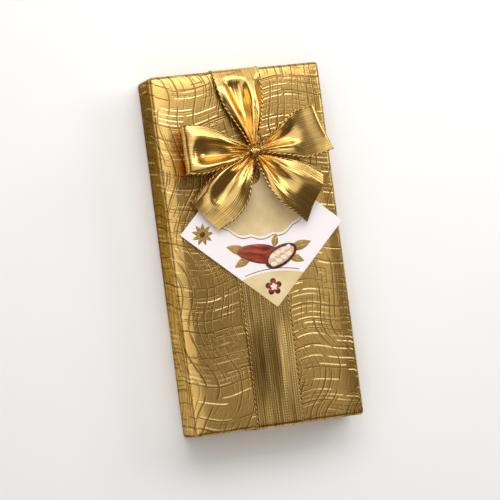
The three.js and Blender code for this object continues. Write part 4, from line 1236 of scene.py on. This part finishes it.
# %% Cocoa pod, cut pod and leaves
# Each leaf: its middle, its turn in degrees, its length and its width.
LEAVES = [((-16.5, -47.5), 158, 15, 6.4), ((-14.0, -56.0), 205, 13, 5.6), ((27.0, -50.0), 12, 15, 6.4)]
LEAVES += [((22.5, -58.0), -28, 12, 5.4), ((10.0, -44.6), 74, 9, 4.6)]
prints = [crown(leaf(length, width), at, turn, 0.22, leaf_ink, veined) for at, turn, length, width in LEAVES]
prints.append(crown(oval(15.5, 7.4, 0.28), (-2.0, -52.0), 168, 0.75, pod_ink, ridged))
CUT_POD, CUT_TURN = np.array((12.5, -55.0)), 24
HUSK_LEVEL, PULP_LEVEL, BEAN_LEVEL = 33.25, 33.64, 33.72
prints.append(crown(oval(12.2, 7.2, 0.2), CUT_POD, CUT_TURN, 0.42, husk_ink, low=HUSK_LEVEL))
prints.append(crown(oval(10.0, 5.2, 0.2), CUT_POD, CUT_TURN, 0.1, pulp_ink, low=PULP_LEVEL))
bean = oval(2.25, 1.65, 0.15, 28)
for along in range(4):
    for row in (-1, 1):
        spot = np.array([-6.6 + 4.1 * along + 0.9 * row, row * (2.35 - 0.12 * along)])
        spot = CUT_POD + spot @ turned(CUT_TURN)
        prints.append(crown(bean, spot, CUT_TURN + 24 * row, 0.5, bean_ink, grooved, BEAN_LEVEL))
print("pods, beans and leaves:", len(prints))

# %% Rosette and blossom
ROSETTE = np.array((-38.0, -34.6))
for turn in range(0, 360, 40):
    a = math.radians(turn)
    at = ROSETTE + 4.1 * np.array([math.cos(a), math.sin(a)])
    prints.append(crown(leaf(6.4, 2.7), at, turn, 0.16, deep_gold_ink, veined))
prints.append(crown(oval(2.1, 1.7, 0.1, 28), ROSETTE, 30, 0.4, husk_ink, grooved))
petals = np.linspace(0, 2 * math.pi, 120, endpoint=False)
scallop = np.abs(np.cos(2.5 * petals)) ** 0.55
blossom = np.stack([np.cos(petals), np.sin(petals)], 1) * (2.4 + 3.3 * scallop)[:, None]
BLOSSOM, BLOSSOM_TURN = (4.4, -74.6), 18
# Each layer: its share of the size, its rise, its ink and its level.
LAYERS = ((1.0, 0.2, husk_ink, LABEL_TOP), (0.74, 0.14, pod_ink, 32.98), (0.42, 0.12, bean_ink, 33.1))
for share, rise, finish, low in LAYERS:
    prints.append(crown(blossom * share, BLOSSOM, BLOSSOM_TURN, rise, finish, low=low))
piece("label_cocoa_print", prints, "label", (), 60)
print("printed motifs:", len(prints))

# %% [markdown]
# ## Pralines
# Eighteen pralines of six kinds stand in the tray, cast in moulds or dipped and finished by hand.
# They could be scaled copies of a ball, but each kind has its own outline, its own profile and its own
# decoration, so each is lofted on the size of its CAD solid and gets its drizzle, ribs or bars on top.


# %% Chocolate finishes
def chocolate(name, dark, light, rough, swirl=0.0):
    made = Finish(name, IOR=1.46)
    where, x, y, z = made.place()
    cloud = made.noise(where, 0.16, 3.0, 0.6)
    if swirl:
        bent = made.add(x, made.times(made.noise(where, 0.09, 2.0), swirl))
        cloud = made.math("MULTIPLY_ADD", made.wave(bent, 7.0), 0.5, 0.5)
    made.set("Base Color", made.blend(made.step(cloud, 0.3, 0.7), colour(*dark), colour(*light)))
    bloom = made.noise(where, 1.9, 3.0, 0.6)
    made.set("Roughness", made.step(bloom, 0.25, 0.75, rough, rough + 0.14))
    made.relief(made.add(bloom, made.times(cloud, 0.6)), 0.05, 0.35)
    return made


dark_chocolate = chocolate("dark chocolate", (52, 27, 18), (66, 36, 24), 0.26)
milk_chocolate = chocolate("milk chocolate", (124, 74, 42), (142, 88, 52), 0.3)
white_chocolate = chocolate("white chocolate", (236, 214, 172), (246, 230, 196), 0.32)
marbled_chocolate = chocolate("marbled chocolate", (240, 222, 186), (150, 96, 58), 0.3, 46.0)
print("chocolates:", [m.name for m in bpy.data.materials if m.name.endswith("chocolate")])

# %% [markdown]
# ## Moulds and piped beads
# A mould gives a praline its outline and its profile, and a nozzle pipes a bead over it while it sets.
# Modelling eighteen by hand would be slow, so a table says what sets the six kinds apart: how square the
# outline is, how deep its flutes are, and which chocolate goes where. The bead's path is drawn in plan and
# laid on the skin below it.

# %% Kinds of praline
# Each profile: share of the height and share of the width, from the foot to the crown.
DOME = [(0, 0.94), (0.16, 1), (0.5, 0.9), (0.78, 0.65), (0.94, 0.34), (0.996, 0.1), (1.0, 0.02)]
PILLOW = [(0, 0.95), (0.14, 1), (0.62, 0.94), (0.86, 0.82), (0.985, 0.56), (1.0, 0.28), (1.0, 0.02)]
PRALINE_SIDES, PRALINE_RINGS = 64, 28
BEAD_RADIUS = 0.75
# Each kind: profile, squareness, flutes, their depth, their twist, finish, slot and its decoration's finish.
KINDS = {
    "dome": (DOME, 2.0, 0, 0.0, 0.0, dark_chocolate, "dark_chocolate", milk_chocolate),
    "oval": (PILLOW, 2.2, 0, 0.0, 0.0, milk_chocolate, "milk_chocolate", dark_chocolate),
    "shell": (DOME, 2.2, 8, 0.07, 0.0, marbled_chocolate, "white_chocolate", milk_chocolate),
    "square": (PILLOW, 5.0, 0, 0.0, 0.0, dark_chocolate, "dark_chocolate", white_chocolate),
    "rosette": (PILLOW, 2.0, 6, 0.10, 1.1, milk_chocolate, "milk_chocolate", dark_chocolate),
    "log": (PILLOW, 4.0, 0, 0.0, 0.0, dark_chocolate, "dark_chocolate", milk_chocolate),
}
print("kinds:", sorted(KINDS))


# %% Praline shapes
def praline_body(kind, half, height):
    profile, power, flutes, depth, twist, finish = KINDS[kind][:6]
    up, share = smooth_run(profile, np.linspace(0, 1, PRALINE_RINGS)).T
    angle = np.arange(PRALINE_SIDES) / PRALINE_SIDES * 2 * math.pi
    swell = 1 + depth * (np.cos(flutes * (angle[None] + twist * up[:, None])) - 1)
    round_it = [np.sign(f(angle)) * np.abs(f(angle)) ** (2 / power) for f in (np.cos, np.sin)]
    x, y = (size * along[None] * share[:, None] * swell for size, along in zip(half, round_it))
    z = np.broadcast_to(up[:, None] * height, x.shape)
    plan = np.stack([x, y], 2).reshape(-1, 2)
    return np.stack([x, y, z], 2).reshape(-1, 3), tube_faces(PRALINE_RINGS, PRALINE_SIDES), finish, plan


def on_top(kind, half, height, x, y):
    """Height of the praline's skin over a spot of its plan."""
    profile, power = KINDS[kind][:2]
    share = ((np.abs(x) / half[0]) ** power + (np.abs(y) / half[1]) ** power) ** (1 / power)
    up, wide = np.array(profile[1:]).T
    return height * np.interp(share, wide[::-1], up[::-1])


def piped(path, radius, finish, sides=10):
    """A bead of chocolate along a path, tapered at both ends."""
    path = np.asarray(path, float)
    forward = along_line(path)
    side = np.cross(forward, (0, 0, 1.0))
    side /= np.linalg.norm(side, axis=1, keepdims=True)
    up = np.cross(side, forward)
    s = np.linspace(0, 1, len(path))
    thick = radius * (0.25 + 0.75 * np.minimum(1, 14 * np.minimum(s, 1 - s)))
    angle = np.arange(sides) / sides * 2 * math.pi
    rings = path[:, None] + (thick[:, None] * np.cos(angle))[..., None] * side[:, None]
    rings = rings + (thick[:, None] * np.sin(angle) * 0.8)[..., None] * up[:, None]
    plan = rings[..., :2].reshape(-1, 2)
    return rings.reshape(-1, 3), tube_faces(len(path), sides), finish, plan


def decoration(kind, half, height, turn):
    """The beads on top of a praline, as paths in its own plan."""
    t = np.linspace(-1, 1, 90)
    bars = (-0.6, 0, 0.6)
    paths = []
    if kind == "dome":
        paths = [(0.78 * np.abs(np.sin(4.5 * math.pi * t)) * np.sqrt(1 - 0.72 * t * t) - 0.4, 0.8 * t)]
    elif kind == "oval":
        paths = [(0.55 * t + k, 0.42 * t - 1.1 * k) for k in (-0.16, 0.16)]
    elif kind == "square":
        paths = [(0.66 * t, 0.66 * k + 0 * t) for k in bars] + [(0.66 * k + 0 * t, 0.66 * t) for k in bars]
    elif kind == "log":
        paths = [(k + 0.07 * np.sin(3 * math.pi * t), 0.84 * t) for k in (-0.45, 0, 0.45)]
    elif kind == "rosette":
        coil = 0.34 * (1 - 0.8 * (t + 1) / 2)
        paths = [(coil * np.cos(4.4 * t), coil * np.sin(4.4 * t))]
    made = []
    for x, y in paths:
        x, y = x * half[0] * turn, y * half[1]
        z = on_top(kind, half, height, x, y)
        made.append(piped(np.stack([x, y, z], 1), BEAD_RADIUS, KINDS[kind][7]))
    return made


print("points on a praline:", PRALINE_SIDES * PRALINE_RINGS)


# %% Eighteen pralines
def stand(part, foot):
    return (part[0] + foot, *part[1:])


pralines = sorted(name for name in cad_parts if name.startswith("praline_") and name != "praline_tray")
for number, name in enumerate(pralines):
    kind = name.split("_")[1]
    low, high = (np.array(corner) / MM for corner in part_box(name))
    half, height = (high - low)[:2] / 2, (high - low)[2]
    foot = np.array([*(low + high)[:2] / 2, low[2]])
    parts = [praline_body(kind, half, height)] + decoration(kind, half, height, 1 if number % 2 else -1)
    parts = [stand(part, foot) for part in parts]
    piece(name.replace("praline", "filled"), parts, "base", [name], 70)
print("pralines:", len(pralines))

# %% [markdown]
# ## Cushion under the lid
# A pad of creped paper, quilted in diamonds, keeps the pralines in their pockets. It is padded, but paper
# hardly stretches, so a cloth simulation would give it the wrong bulges. It is a grid in two layers: flat
# where it is glued to the lid, swollen between the quilted lines underneath, and pinched along its edges.

# %% Crepe paper
crepe = Finish("creped pad paper", Specular_IOR_Level=0.3)
flat, x, y = crepe.plan()
creped = crepe.noise(crepe.vector(crepe.times(x, 0.3), crepe.times(y, 2.6), 0.0), 1.0, 3.0, 0.6)
shade = crepe.times(crepe.noise(flat, 0.04, 2.0), 0.35)
tone = crepe.blend(creped, colour(226, 206, 168), colour(244, 230, 200))
crepe.set("Base Color", crepe.blend(shade, tone, colour(220, 194, 148)))
crepe.set("Roughness", crepe.step(creped, 0.2, 0.8, 0.6, 0.78))
crepe.relief(creped, 0.18, 0.6)
print("nodes in the crepe:", len(crepe.tree.nodes))

# %% Pad
CUSHION_WIDTH, CUSHION_LENGTH, CUSHION_FOOT, CUSHION_TOP = 103.6, 221.6, 25.65, 28.85
DIAMOND, PINCHED, DRAWN_IN = 26.0, 5.0, 1.2  # the quilting, the width of the pinched edge, the sides' pull
PAD_ROWS, PAD_COLUMNS = 131, 63
u, v = np.meshgrid(np.linspace(-1, 1, PAD_COLUMNS), np.linspace(-1, 1, PAD_ROWS))
x = u * CUSHION_WIDTH / 2 - np.sign(u) * np.abs(u) ** 8 * DRAWN_IN * (1 - v**2)
y = v * CUSHION_LENGTH / 2 - np.sign(v) * np.abs(v) ** 8 * DRAWN_IN * (1 - u**2)
seams = [np.abs(np.sin(math.pi * way / DIAMOND)) for way in (x + y, x - y)]
quilted = np.minimum(*seams)
edge = np.minimum((1 - np.abs(u)) * CUSHION_WIDTH / 2, (1 - np.abs(v)) * CUSHION_LENGTH / 2)
pinch = np.sqrt(np.clip(1 - (1 - np.clip(edge / PINCHED, 0, 1)) ** 2, 0, 1))
thick = CUSHION_TOP - CUSHION_FOOT - 0.35
under = CUSHION_TOP - 0.3 - pinch * thick * (0.55 + 0.45 * quilted**0.6)
over = np.full_like(under, CUSHION_TOP) - 0.25 * (1 - pinch)
plan = np.stack([x, y], 2).reshape(-1, 2)
points = np.r_[np.stack([x, y, over], 2).reshape(-1, 3), np.stack([x, y, under], 2).reshape(-1, 3)]
pad_parts = [(points, sheet_faces(PAD_ROWS, PAD_COLUMNS), crepe, np.r_[plan, plan])]
pad = piece("lid_creped_pad", pad_parts, "lid", ["lid_cushion"])
print("pad is", round(float(over.max() - under.min()), 2), "mm thick")

# %% [markdown]
